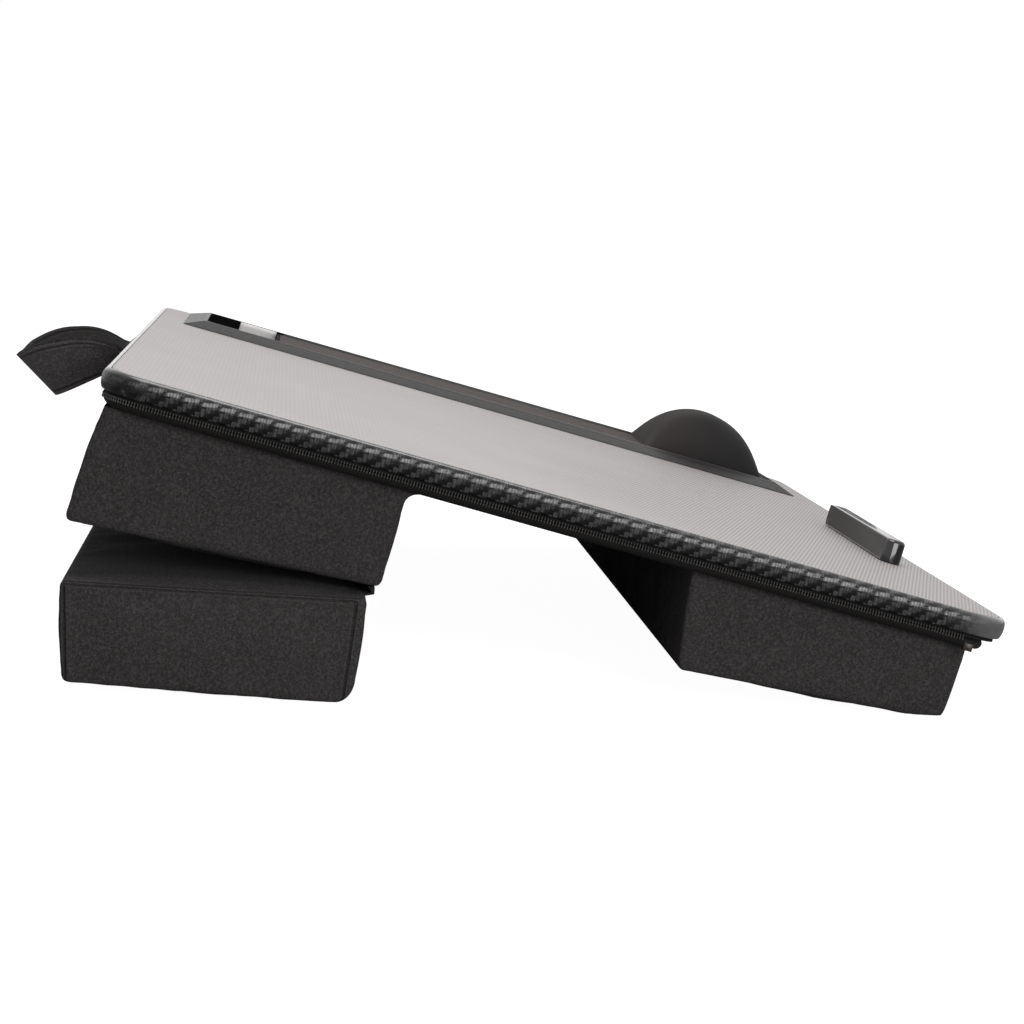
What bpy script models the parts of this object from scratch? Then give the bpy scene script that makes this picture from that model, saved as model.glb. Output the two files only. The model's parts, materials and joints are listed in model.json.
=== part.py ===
"""Lap desk: a padded board with a mouse tray, zipped to a cushion base with a fold-out riser.

The desk frame has its origin at the middle of the top sheet's upper face: +X to the user's
right, +Y to the rear edge, +Z square to the sheet. One empty tilts that frame onto the floor.
"""

import math

import bmesh
import bpy
from mathutils import Matrix, Vector

# Driving dimensions, in metres.

# Gap between pieces that touch.
FIT = 0.0003

# Board: the top sheet's size, and the layers under it.
BOARD_WIDTH = 0.548
BOARD_DEPTH = 0.358
BOARD_CORNER = 0.015
SHEET_THICK = 0.0008
CORE_THICK = 0.0059
LINING_THICK = 0.0008

# Edge band: a bullnose strip round the board.
BAND_WALL = 0.0027
BAND_LIP = 0.0004
BAND_SHOULDER = 0.003
BAND_FOOT_RADIUS = 0.0008

# Zipper under the band.
TAPE_THICK = 0.001
TAPE_INSET = 0.0004
UPPER_TAPE_HEIGHT = 0.0013
LOWER_TAPE_HEIGHT = 0.0038
TAPE_GAP = 0.0004
TAPE_FLANGE_WIDTH = 0.0067
TAPE_FLANGE_THICK = 0.001
COIL_DEPTH = 0.0012
COIL_HEIGHT = 0.00125
SLIDER_LENGTH = 0.0075
SLIDER_PLATE = 0.0015
SLIDER_LOBE_HEIGHT = 0.0031
SLIDER_EDGE = 0.0004
STOP_CLIP_LENGTH = 0.003

# Base panel, and the piping along its front edge.
PANEL_THICK = 0.0019
PIPING_RADIUS = 0.0023
PIPING_RISE = 0.0019

# Rear bolster, sewn under the panel.
BOLSTER_END_INSET = 0.008
REAR_SETBACK = 0.0014
REAR_FACE_FLARE = 0.0018
REAR_DEPTH = 0.1193
REAR_HEIGHT_BACK = 0.0466
REAR_HEIGHT_FRONT = 0.0389

# Front bolster.
FRONT_SETBACK = 0.0101
FRONT_FACE_LEAN = 0.0014
FRONT_DEPTH = 0.1128
FRONT_BACK_LEAN = 0.0057
FRONT_HEIGHT_BACK = 0.0388
FRONT_HEIGHT_FRONT = 0.0306
FRONT_FOOT_RADIUS = 0.007

# Riser cushion, hinged to the rear bolster's lower front edge.
RISER_OVERHANG = 0.012
RISER_DEPTH = 0.1147
RISER_THICK_FRONT = 0.0412
RISER_THICK_BACK = 0.0387
RISER_FRONT_LEAN = 0.0034
RISER_BACK_LEAN = 0.0036
RISER_FOOT_RADIUS = 0.005
RISER_SLOPE = math.radians(12.06)
HINGE_BEHIND_EDGE = 0.0017
HINGE_BELOW_EDGE = 0.0031
RISER_FROM_HINGE = 0.0026
RISER_UNDER_HINGE = 0.0002
HINGE_TAPE_THICK = 0.001
HINGE_TAPE_GAP = 0.0009
FILL_SLIT_LENGTH = 0.2
FILL_SLIT_WIDTH = 0.0016

# Sewn covers and the foam in them.
COVER_WALL = 0.001
FOAM_GAP = 0.0004
CUSHION_EDGE = 0.003
CROWN = 0.002
SIDE_CROWN = 0.0006
DRAW_IN = 0.001
FOOT_FLAT = 0.0005

# Mouse tray at the right: a sloped bezel with a tub under it.
TRAY_WIDTH = 0.114
TRAY_RIGHT_MARGIN = 0.006
TRAY_FRONT_MARGIN = 0.0112
TRAY_BACK_MARGIN = 0.0128
BEZEL_SLOPE_WIDTH = 0.0105
BEZEL_RIM_WIDTH = 0.0008
BEZEL_HEIGHT = 0.0042
BEZEL_TIP = 0.0005
TUB_WALL = 0.0016
TUB_FLOOR = 0.0014
TUB_CORNER = 0.003
POCKET_LENGTH = 0.0375
DIVIDER_WALL = 0.0018
DIVIDER_DROP = 0.0012

# Mouse mat and wrist rest.
MAT_DROP = 0.0012
MAT_CLOTH_THICK = 0.0008
REST_LENGTH = 0.089
REST_CHORD = 0.064
REST_RISE = 0.025
REST_FRONT_GAP = 0.0052
REST_END_RADIUS = 0.02
REST_HEM = 0.0009

# Blank sticker on the pocket's right wall.
STICKER_LENGTH = 0.0175
STICKER_HEIGHT = 0.0068
STICKER_THICK = 0.0004
STICKER_UP = 0.0022
STICKER_FROM_DIVIDER = 0.0006

# Laptop stop bar near the front edge.
STOP_LENGTH = 0.137
STOP_DEPTH = 0.009
STOP_HEIGHT = 0.0104
STOP_FROM_FRONT = 0.015
STOP_FROM_MIDDLE = 0.0715
STOP_END_RADIUS = 0.0038
STOP_TOP_RADIUS = 0.0016
PAD_THICK = 0.0009
PAD_MARGIN = 0.0012
PAD_CORNER = 0.0014

# Screws that hold the stop bar from under the board.
SCREW_SPACING = 0.09
SCREW_RADIUS = 0.0015
SCREW_BITE = 0.0065
SCREW_HEAD_RADIUS = 0.003
SCREW_HEAD_THICK = 0.0018

# Carry handle: a flat strap in a loop behind the rear edge.
STRAP_WIDTH = 0.025
STRAP_THICK = 0.002
HANDLE_SPAN = 0.14
HANDLE_AXIS_OUT = 0.0016
HANDLE_AXIS_DROP = 0.007
HANDLE_ROOT = 0.0004
HANDLE_REACH = 0.0475
HANDLE_INNER_REACH = 0.0265
HANDLE_DROOP = 0.0185
HANDLE_INNER_DROOP = 0.031
HANDLE_RISE = 0.0034

# Overrun of the cutters, the block that trims the feet flat, and the welding distance.
CUT = 0.002
FLOOR_BLOCK = 0.05
WELD = 0.00001

# Counts, and the welding distance on a unit shape.
CORNER_STEPS = 5
TURN_STEPS = 12
STRAP_STEPS = 20
UNIT_WELD_SHARE = 0.00001

# Derived places in the desk frame.
HALF_X = BOARD_WIDTH / 2
HALF_Y = BOARD_DEPTH / 2
CORE_TOP = -SHEET_THICK - FIT
CORE_BOTTOM = CORE_TOP - CORE_THICK
LINING_TOP = CORE_BOTTOM - FIT
LINING_BOTTOM = LINING_TOP - LINING_THICK
BAND_BOTTOM = LINING_BOTTOM - BAND_LIP
BAND_OUT = FIT + BAND_WALL

TAPE_OUT = -TAPE_INSET
TAPE_IN = TAPE_OUT - TAPE_THICK
UPPER_TAPE_TOP = BAND_BOTTOM - FIT
UPPER_TAPE_BOTTOM = UPPER_TAPE_TOP - UPPER_TAPE_HEIGHT
LOWER_TAPE_TOP = UPPER_TAPE_BOTTOM - TAPE_GAP
PARTING = (UPPER_TAPE_BOTTOM + LOWER_TAPE_TOP) / 2
BASE_BOTTOM = LOWER_TAPE_TOP - LOWER_TAPE_HEIGHT
COIL_IN = TAPE_OUT + FIT
COIL_OUT = COIL_IN + COIL_DEPTH
PANEL_EDGE = TAPE_IN - TAPE_FLANGE_WIDTH - FIT
PIPING_LINE = PANEL_EDGE + FIT + PIPING_RADIUS
PIPING_START = -(HALF_Y - BOARD_CORNER)
ZIP_END = PIPING_START + FIT
RIM = BASE_BOTTOM - FIT

LID_AXIS_Y = -HALF_Y - BAND_OUT
LID_AXIS_Z = BAND_BOTTOM - FIT / 2

TRAY_X = HALF_X - TRAY_RIGHT_MARGIN - TRAY_WIDTH / 2
TRAY_FRONT = -HALF_Y + TRAY_FRONT_MARGIN
TRAY_BACK = HALF_Y - TRAY_BACK_MARGIN
TRAY_Y = (TRAY_FRONT + TRAY_BACK) / 2
RIM_INSET = BEZEL_SLOPE_WIDTH + BEZEL_RIM_WIDTH
WELL_LEFT = TRAY_X - TRAY_WIDTH / 2 + RIM_INSET
WELL_RIGHT = TRAY_X + TRAY_WIDTH / 2 - RIM_INSET
WELL_FRONT = TRAY_FRONT + RIM_INSET
WELL_BACK = TRAY_BACK - RIM_INSET
WELL_FLOOR = CORE_BOTTOM + TUB_FLOOR
DIVIDER_BACK = WELL_BACK - POCKET_LENGTH
DIVIDER_FRONT = DIVIDER_BACK - DIVIDER_WALL
MAT_TOP = BEZEL_HEIGHT - MAT_DROP
CLOTH_BOTTOM = MAT_TOP - MAT_CLOTH_THICK
REST_RADIUS = (REST_CHORD**2 / 4 + REST_RISE**2) / (2 * REST_RISE)
REST_MIDDLE = WELL_FRONT + FIT + REST_FRONT_GAP + REST_CHORD / 2

STOP_X = -STOP_FROM_MIDDLE
STOP_FRONT = -HALF_Y + STOP_FROM_FRONT
STOP_BACK = STOP_FRONT + STOP_DEPTH
SCREW_Y = (STOP_FRONT + STOP_BACK) / 2
HEAD_SEAT = CORE_BOTTOM + FIT + SCREW_HEAD_THICK

HANDLE_AXIS_Y = HALF_Y + BAND_OUT + HANDLE_AXIS_OUT


# Profiles of the cushions: rear top, rear bottom, front bottom, front top, as (y, z).
REAR_TOP_Y = HALF_Y - REAR_SETBACK
REAR_PROFILE = (
    (REAR_TOP_Y, RIM),
    (REAR_TOP_Y + REAR_FACE_FLARE, RIM - REAR_HEIGHT_BACK),
    (REAR_TOP_Y - REAR_DEPTH, RIM - REAR_HEIGHT_FRONT),
    (REAR_TOP_Y - REAR_DEPTH, RIM),
)
FRONT_TOP_Y = -HALF_Y + FRONT_SETBACK
FRONT_PROFILE = (
    (FRONT_TOP_Y + FRONT_DEPTH, RIM),
    (FRONT_TOP_Y + FRONT_DEPTH - FRONT_BACK_LEAN, RIM - FRONT_HEIGHT_BACK),
    (FRONT_TOP_Y + FRONT_FACE_LEAN, RIM - FRONT_HEIGHT_FRONT),
    (FRONT_TOP_Y, RIM),
)
# The riser's profile is in its own frame: y along its depth and z square to its top,
# both from the hinge axis.
RISER_PROFILE = (
    (RISER_FROM_HINGE + RISER_DEPTH, -RISER_UNDER_HINGE),
    (RISER_FROM_HINGE + RISER_DEPTH - RISER_BACK_LEAN, -RISER_UNDER_HINGE - RISER_THICK_BACK),
    (RISER_FROM_HINGE + RISER_FRONT_LEAN, -RISER_UNDER_HINGE - RISER_THICK_FRONT),
    (RISER_FROM_HINGE, -RISER_UNDER_HINGE),
)
HINGE_Y = REAR_PROFILE[2][0] + HINGE_BEHIND_EDGE
HINGE_Z = REAR_PROFILE[2][1] - HINGE_BELOW_EDGE


def turned(point, angle):
    """The point (y, z) turned about +X."""
    y, z = point
    return (
        y * math.cos(angle) - z * math.sin(angle),
        y * math.sin(angle) + z * math.cos(angle),
    )


def standing_place():
    """The tilt, and the desk frame's height, that set both rounded feet on the floor."""
    front = (FRONT_PROFILE[2][0] + FRONT_FOOT_RADIUS, FRONT_PROFILE[2][1] + FRONT_FOOT_RADIUS)
    own = (RISER_PROFILE[2][0] + RISER_FOOT_RADIUS, RISER_PROFILE[2][1] + RISER_FOOT_RADIUS)
    rear = turned(own, -RISER_SLOPE)
    rear = (rear[0] + HINGE_Y, rear[1] + HINGE_Z)
    across = rear[0] - front[0]
    down = front[1] - rear[1]
    tilt = math.atan2(down, across)
    tilt -= math.asin((FRONT_FOOT_RADIUS - RISER_FOOT_RADIUS) / math.hypot(across, down))
    height = FRONT_FOOT_RADIUS - turned(front, tilt)[1] - FOOT_FLAT
    return tilt, height


TILT, DESK_HEIGHT = standing_place()
HANDLE_TIP = turned(
    (HANDLE_AXIS_Y + HANDLE_REACH, -HANDLE_AXIS_DROP - HANDLE_DROOP - STRAP_THICK / 2), TILT
)[0]
FRONT_TIP = turned((-HALF_Y - BAND_OUT, -BAND_SHOULDER), TILT)[0]
DESK_Y = -(HANDLE_TIP + FRONT_TIP) / 2

COLOURS = {
    "vinyl_grey": ((0.53, 0.51, 0.50), 0.55, 0.0),
    "carbon_black": ((0.03, 0.03, 0.032), 0.3, 0.0),
    "base_fabric": ((0.030, 0.030, 0.033), 0.9, 0.0),
    "zip_black": ((0.02, 0.02, 0.021), 0.6, 0.0),
    "zip_metal": ((0.10, 0.07, 0.05), 0.4, 0.8),
    "gloss_black": ((0.012, 0.012, 0.013), 0.15, 0.0),
    "grip_grey": ((0.05, 0.05, 0.052), 0.75, 0.0),
    "mat_cloth": ((0.05, 0.044, 0.042), 0.85, 0.0),
    "foam_grey": ((0.16, 0.16, 0.17), 0.95, 0.0),
    "board_wood": ((0.42, 0.31, 0.20), 0.8, 0.0),
    "lining_black": ((0.02, 0.02, 0.022), 0.9, 0.0),
    "sticker_white": ((0.80, 0.80, 0.80), 0.5, 0.0),
    "screw_steel": ((0.42, 0.42, 0.43), 0.35, 1.0),
}


def clear_scene():
    for old in list(bpy.data.objects):
        bpy.data.objects.remove(old, do_unlink=True)


def new_collection(name, hidden=False):
    found = bpy.data.collections.new(name)
    bpy.context.scene.collection.children.link(found)
    found.hide_render = hidden
    return found


def material(name):
    found = bpy.data.materials.get(name)
    if found:
        return found
    colour, roughness, metallic = COLOURS[name]
    made = bpy.data.materials.new(name)
    made.use_nodes = True
    shader = made.node_tree.nodes["Principled BSDF"]
    shader.inputs["Base Color"].default_value = (*colour, 1.0)
    shader.inputs["Roughness"].default_value = roughness
    shader.inputs["Metallic"].default_value = metallic
    return made


def empty(name, parent, location, angle=0.0):
    made = bpy.data.objects.new(name, None)
    PARTS.objects.link(made)
    made.parent = parent
    made.location = location
    made.rotation_euler = (angle, 0.0, 0.0)
    return made


def add_part(name, bm, colour, parent, origin=(0.0, 0.0, 0.0)):
    """An object from a mesh in its parent's frame, or in the frame that has origin at the parent."""
    bmesh.ops.recalc_face_normals(bm, faces=bm.faces)
    mesh = bpy.data.meshes.new(name)
    bm.to_mesh(mesh)
    bm.free()
    made = bpy.data.objects.new(name, mesh)
    PARTS.objects.link(made)
    made.parent = parent
    made.location = [-value for value in origin]
    mesh.materials.append(material(colour))
    return made


def smooth(made, angle=math.radians(35)):
    made.data.shade_smooth()
    made.data.set_sharp_from_angle(angle=angle)


def add_cutter(name, bm, parent, origin=(0.0, 0.0, 0.0)):
    bmesh.ops.recalc_face_normals(bm, faces=bm.faces)
    mesh = bpy.data.meshes.new(name)
    bm.to_mesh(mesh)
    bm.free()
    made = bpy.data.objects.new(name, mesh)
    CUTTERS.objects.link(made)
    made.parent = parent
    made.location = [-value for value in origin]
    made.hide_render = True
    made.display_type = "WIRE"
    return made


def boolean(made, other, operation="DIFFERENCE"):
    step = made.modifiers.new(other.name, "BOOLEAN")
    step.operation = operation
    step.solver = "EXACT"
    step.object = other


def box_mesh(low, high):
    bm = bmesh.new()
    bmesh.ops.create_cube(bm, size=1.0)
    size = [b - a for a, b in zip(low, high)]
    middle = [(a + b) / 2 for a, b in zip(low, high)]
    bmesh.ops.transform(bm, matrix=Matrix.Diagonal((*size, 1.0)), verts=bm.verts)
    bmesh.ops.translate(bm, vec=middle, verts=bm.verts)
    return bm


def upright_edges(bm):
    return [e for e in bm.edges if (e.verts[0].co - e.verts[1].co).xy.length < FIT / 2]


def plate_mesh(low, high, corner):
    """A flat plate with its four upright edges rounded."""
    bm = box_mesh(low, high)
    bmesh.ops.bevel(
        bm,
        geom=upright_edges(bm),
        offset=corner,
        segments=CORNER_STEPS,
        affect="EDGES",
        profile=0.5,
    )
    return bm


def edge_line(offset, start, stop, first=None, last=None):
    """Points along the board's edge, offset outwards, over the corners from start to stop.

    Corner 0 is the front left, and they go round by the rear. first and last are the y
    of open ends on the straight sides before and after those corners.
    """
    points = []
    if first is not None:
        points.append((-(HALF_X + offset), first))
    for corner in range(start, stop):
        side_x = (-1, -1, 1, 1)[corner % 4]
        side_y = (-1, 1, 1, -1)[corner % 4]
        middle_x = side_x * (HALF_X - BOARD_CORNER)
        middle_y = side_y * (HALF_Y - BOARD_CORNER)
        begin = math.radians((270, 180, 90, 0)[corner % 4])
        for step in range(CORNER_STEPS + 1):
            angle = begin - math.pi / 2 * step / CORNER_STEPS
            radius = BOARD_CORNER + offset
            points.append((middle_x + radius * math.cos(angle), middle_y + radius * math.sin(angle)))
    if last is not None:
        points.append((HALF_X + offset, last))
    return points


def edge_run_mesh(section, start=0, stop=4, first=None, last=None):
    """A section of (offset, z) points swept along the board's edge."""
    bm = bmesh.new()
    closed = stop - start == 4
    rows = []
    for offset, z in section:
        line = edge_line(offset, start, stop, first, last)
        rows.append([bm.verts.new((x, y, z)) for x, y in line])
    count = len(rows[0])
    for row, following in zip(rows, rows[1:] + rows[:1]):
        for step in range(count if closed else count - 1):
            after = (step + 1) % count
            bm.faces.new((row[step], row[after], following[after], following[step]))
    if not closed:
        bm.faces.new([row[0] for row in rows])
        bm.faces.new([row[-1] for row in rows])
    return bm


def band_section():
    """The bullnose: an elliptical shoulder at the top, a small round at the foot."""
    section = [(FIT, 0.0)]
    steps = CORNER_STEPS
    for step in range(1, steps + 1):
        angle = math.pi / 2 * step / steps
        across = FIT + BAND_WALL * math.sin(angle)
        section.append((across, -BAND_SHOULDER * (1 - math.cos(angle))))
    for step in range(3):
        angle = math.pi / 4 * step
        across = BAND_OUT - BAND_FOOT_RADIUS * (1 - math.cos(angle))
        section.append((across, BAND_BOTTOM + BAND_FOOT_RADIUS * (1 - math.sin(angle))))
    section.append((FIT, BAND_BOTTOM))
    return section


def rectangle(inner, outer, bottom, top):
    return [(inner, bottom), (outer, bottom), (outer, top), (inner, top)]


def circle(middle_out, middle_z, radius, steps=8):
    return [
        (
            middle_out + radius * math.cos(2 * math.pi * step / steps),
            middle_z + radius * math.sin(2 * math.pi * step / steps),
        )
        for step in range(steps)
    ]


def make_board(lid):
    """Top sheet, core and lining, with the tray's cut-out and the screw holes."""
    origin = lid.location
    low_high = (
        ("top_cover", -SHEET_THICK, 0.0, "vinyl_grey"),
        ("board_core", CORE_BOTTOM, CORE_TOP, "board_wood"),
        ("board_lining", LINING_BOTTOM, LINING_TOP, "lining_black"),
    )
    made = {}
    for name, bottom, top, colour in low_high:
        bm = plate_mesh((-HALF_X, -HALF_Y, bottom), (HALF_X, HALF_Y, top), BOARD_CORNER)
        made[name] = add_part(name, bm, colour, lid, origin)
    grow = TUB_WALL + FIT
    well = plate_mesh(
        (WELL_LEFT - grow, WELL_FRONT - grow, CORE_BOTTOM - CUT),
        (WELL_RIGHT + grow, WELL_BACK + grow, CUT),
        TUB_CORNER + grow,
    )
    well = add_cutter("tub_cutter", well, lid, origin)
    for name in ("top_cover", "board_core"):
        boolean(made[name], well)
    hole = add_cutter("screw_hole_cutter", screw_hole_mesh(), lid, origin)
    for name in ("top_cover", "board_core"):
        boolean(made[name], hole)
    band = add_part("edge_band", edge_run_mesh(band_section()), "carbon_black", lid, origin)
    smooth(band)
    return hole


def cylinder_between(bm, x, y, bottom, top, radius):
    bmesh.ops.create_cone(
        bm,
        cap_ends=True,
        segments=TURN_STEPS,
        radius1=radius,
        radius2=radius,
        depth=top - bottom,
        matrix=Matrix.Translation((x, y, (bottom + top) / 2)),
    )


def screw_places():
    return (STOP_X - SCREW_SPACING / 2, STOP_X + SCREW_SPACING / 2)


def screw_hole_mesh():
    """Two stepped holes: the head's counterbore under the core, the shank's hole above it."""
    bm = bmesh.new()
    for x in screw_places():
        radius = SCREW_HEAD_RADIUS + FIT
        outline = [
            (radius, CORE_BOTTOM - CUT),
            (radius, HEAD_SEAT + FIT),
            (SCREW_RADIUS + FIT, HEAD_SEAT + FIT),
            (SCREW_RADIUS + FIT, SCREW_BITE + FIT),
        ]
        turn_outline(bm, x, SCREW_Y, outline)
    return bm


def turn_outline(bm, x, y, outline):
    """A solid turned about the upright line at x, y from (radius, z) points, bottom to top."""
    rings = []
    for radius, z in outline:
        ring = []
        for step in range(TURN_STEPS):
            angle = 2 * math.pi * step / TURN_STEPS
            ring.append(bm.verts.new((x + radius * math.cos(angle), y + radius * math.sin(angle), z)))
        rings.append(ring)
    for ring, following in zip(rings, rings[1:]):
        for step in range(TURN_STEPS):
            after = (step + 1) % TURN_STEPS
            bm.faces.new((ring[step], ring[after], following[after], following[step]))
    bm.faces.new(rings[0][::-1])
    bm.faces.new(rings[-1])


def make_screws(lid):
    for name, x in zip(("stop_screw_left", "stop_screw_right"), screw_places()):
        bm = bmesh.new()
        outline = [
            (SCREW_HEAD_RADIUS, HEAD_SEAT - SCREW_HEAD_THICK),
            (SCREW_HEAD_RADIUS, HEAD_SEAT),
            (SCREW_RADIUS, HEAD_SEAT),
            (SCREW_RADIUS, SCREW_BITE),
        ]
        turn_outline(bm, x, SCREW_Y, outline)
        smooth(add_part(name, bm, "screw_steel", lid, lid.location))


def make_stop_bar(lid, hole):
    """The rounded bar, with a recess in its rear face for the grip pad."""
    origin = lid.location
    left = STOP_X - STOP_LENGTH / 2
    right = STOP_X + STOP_LENGTH / 2
    bm = plate_mesh((left, STOP_FRONT, FIT), (right, STOP_BACK, STOP_HEIGHT), STOP_END_RADIUS)
    top = [e for e in bm.edges if all(v.co.z > STOP_HEIGHT - FIT for v in e.verts)]
    bmesh.ops.bevel(bm, geom=top, offset=STOP_TOP_RADIUS, segments=3, affect="EDGES", profile=0.5)
    bar = add_part("stop_bar", bm, "gloss_black", lid, origin)
    smooth(bar)
    inset = STOP_END_RADIUS + PAD_MARGIN
    bottom = FIT + PAD_MARGIN
    upper = STOP_HEIGHT - STOP_TOP_RADIUS - PAD_MARGIN / 2
    recess = box_mesh(
        (left + inset - FIT, STOP_BACK - PAD_THICK - FIT, bottom - FIT),
        (right - inset + FIT, STOP_BACK + CUT, upper + FIT),
    )
    boolean(bar, add_cutter("pad_cutter", recess, lid, origin))
    boolean(bar, hole)
    pad = box_mesh((left + inset, STOP_BACK - PAD_THICK, bottom), (right - inset, STOP_BACK, upper))
    ends = [e for e in pad.edges if abs(e.verts[0].co.y - e.verts[1].co.y) > PAD_THICK / 2]
    corner = min(PAD_CORNER, (upper - bottom) / 3)
    bmesh.ops.bevel(pad, geom=ends, offset=corner, segments=2, affect="EDGES", profile=0.5)
    add_part("stop_pad", pad, "grip_grey", lid, origin)


def make_tray(lid):
    """One moulding: a sloped bezel over the sheet and a tub in the core, with two wells."""
    origin = lid.location
    low = (TRAY_X - TRAY_WIDTH / 2, TRAY_FRONT)
    high = (TRAY_X + TRAY_WIDTH / 2, TRAY_BACK)
    bm = box_mesh((*low, FIT), (*high, BEZEL_HEIGHT))
    tip = [e for e in bm.edges if all(v.co.z > BEZEL_TIP for v in e.verts)]
    for vert in {v for e in tip for v in e.verts}:
        vert.co.x += BEZEL_SLOPE_WIDTH * (1 if vert.co.x < TRAY_X else -1)
        vert.co.y += BEZEL_SLOPE_WIDTH * (1 if vert.co.y < TRAY_Y else -1)
    tray = add_part("mouse_tray", bm, "gloss_black", lid, origin)
    tub = plate_mesh(
        (WELL_LEFT - TUB_WALL, WELL_FRONT - TUB_WALL, CORE_BOTTOM),
        (WELL_RIGHT + TUB_WALL, WELL_BACK + TUB_WALL, FIT + BEZEL_TIP),
        TUB_CORNER + TUB_WALL,
    )
    boolean(tray, add_cutter("tub_body", tub, lid, origin), "UNION")
    over = BEZEL_HEIGHT + CUT
    pocket = plate_mesh(
        (WELL_LEFT, DIVIDER_BACK, WELL_FLOOR), (WELL_RIGHT, WELL_BACK, over), TUB_CORNER
    )
    boolean(tray, add_cutter("pocket_cutter", pocket, lid, origin))
    mat_well = plate_mesh(
        (WELL_LEFT, WELL_FRONT, WELL_FLOOR), (WELL_RIGHT, DIVIDER_FRONT, over), TUB_CORNER
    )
    boolean(tray, add_cutter("mat_well_cutter", mat_well, lid, origin))
    notch = box_mesh(
        (WELL_LEFT, DIVIDER_FRONT - CUT, BEZEL_HEIGHT - DIVIDER_DROP),
        (WELL_RIGHT, DIVIDER_BACK + CUT, over),
    )
    boolean(tray, add_cutter("divider_cutter", notch, lid, origin))
    low = (WELL_RIGHT - FIT - STICKER_THICK, DIVIDER_BACK + TUB_CORNER + STICKER_FROM_DIVIDER)
    high = (WELL_RIGHT - FIT, DIVIDER_BACK + TUB_CORNER + STICKER_FROM_DIVIDER + STICKER_LENGTH)
    base = WELL_FLOOR + STICKER_UP
    sticker = box_mesh((*low, base), (*high, base + STICKER_HEIGHT))
    add_part("blank_sticker", sticker, "sticker_white", lid, origin)


def grid_mesh(lines_x, lines_y):
    """A flat open grid with its lines at the given shares of a unit square."""
    bm = bmesh.new()
    bmesh.ops.create_grid(bm, x_segments=1, y_segments=1, size=0.5)
    bmesh.ops.translate(bm, vec=(0.5, 0.5, 0.0), verts=bm.verts)
    for axis, lines in ((0, lines_x), (1, lines_y)):
        for share in lines:
            point = [0.0, 0.0, 0.0]
            normal = [0.0, 0.0, 0.0]
            point[axis] = share
            normal[axis] = 1.0
            bmesh.ops.bisect_plane(
                bm,
                geom=bm.verts[:] + bm.edges[:] + bm.faces[:],
                dist=UNIT_WELD_SHARE,
                plane_co=point,
                plane_no=normal,
            )
    return bm


def rest_height(x, y, inset):
    """The wrist rest's height over the mat: an arc across, with rounded ends."""
    radius = REST_RADIUS - inset
    across = abs(y - REST_MIDDLE)
    if across >= radius:
        return 0.0
    arc = math.sqrt(radius**2 - across**2) - (REST_RADIUS - REST_RISE)
    half = REST_LENGTH / 2 - inset
    middle = (WELL_LEFT + WELL_RIGHT) / 2
    inside = half - abs(x - middle)
    if arc <= 0.0 or inside <= 0.0:
        return 0.0
    rounding = REST_END_RADIUS - inset
    if inside < rounding:
        arc *= math.sqrt(1 - (1 - inside / rounding) ** 2)
    return arc


def rest_lines(low, high, middle, half, rounding, ends):
    """Shares of low to high where the grid needs lines for the rest's form."""
    places = [middle - half, middle + half]
    for share in ends:
        places += [middle - half + rounding * share, middle + half - rounding * share]
    return sorted((place - low) / (high - low) for place in places)


END_LINE_SHARES = (0.04, 0.15, 0.4, 1.0)
ARC_LINE_SHARES = (0.03, 0.1, 0.24, 0.48, 0.74, 1.0)


def make_mat(lid):
    """Foam in the well, the cloth over it with its raised wrist rest, and the rest's core."""
    origin = lid.location
    low_x = WELL_LEFT + FIT
    high_x = WELL_RIGHT - FIT
    low_y = WELL_FRONT + FIT
    high_y = DIVIDER_FRONT - FIT
    foam = plate_mesh(
        (low_x, low_y, WELL_FLOOR + FIT), (high_x, high_y, CLOTH_BOTTOM - FIT), TUB_CORNER
    )
    add_part("mat_foam", foam, "foam_grey", lid, origin)

    middle_x = (WELL_LEFT + WELL_RIGHT) / 2
    chord = REST_CHORD / 2
    left, right = low_x - CUT, high_x + CUT
    front, back = low_y - CUT, high_y + CUT
    lines_x = rest_lines(left, right, middle_x, REST_LENGTH / 2, REST_END_RADIUS, END_LINE_SHARES)
    lines_y = rest_lines(front, back, REST_MIDDLE, chord, chord, ARC_LINE_SHARES)
    bm = grid_mesh(lines_x, lines_y)
    for vert in bm.verts:
        x = left + vert.co.x * (right - left)
        y = front + vert.co.y * (back - front)
        vert.co = (x, y, MAT_TOP + rest_height(x, y, 0.0))
    bmesh.ops.remove_doubles(bm, verts=bm.verts, dist=WELD)
    cloth = add_part("mat_cloth", bm, "mat_cloth", lid, origin)
    if sum(face.normal.z for face in cloth.data.polygons) < 0:
        cloth.data.flip_normals()
    wall = cloth.modifiers.new("cloth", "SOLIDIFY")
    wall.thickness = MAT_CLOTH_THICK
    wall.offset = -1.0
    outline = plate_mesh((low_x, low_y, -CUT), (high_x, high_y, MAT_TOP + REST_RISE + CUT), TUB_CORNER)
    boolean(cloth, add_cutter("mat_outline", outline, lid, origin), "INTERSECT")
    smooth(cloth, math.radians(60))

    inset = MAT_CLOTH_THICK + 2 * FIT
    bm = rest_core_mesh(middle_x, inset)
    smooth(add_part("wrist_rest_core", bm, "foam_grey", lid, origin))


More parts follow.
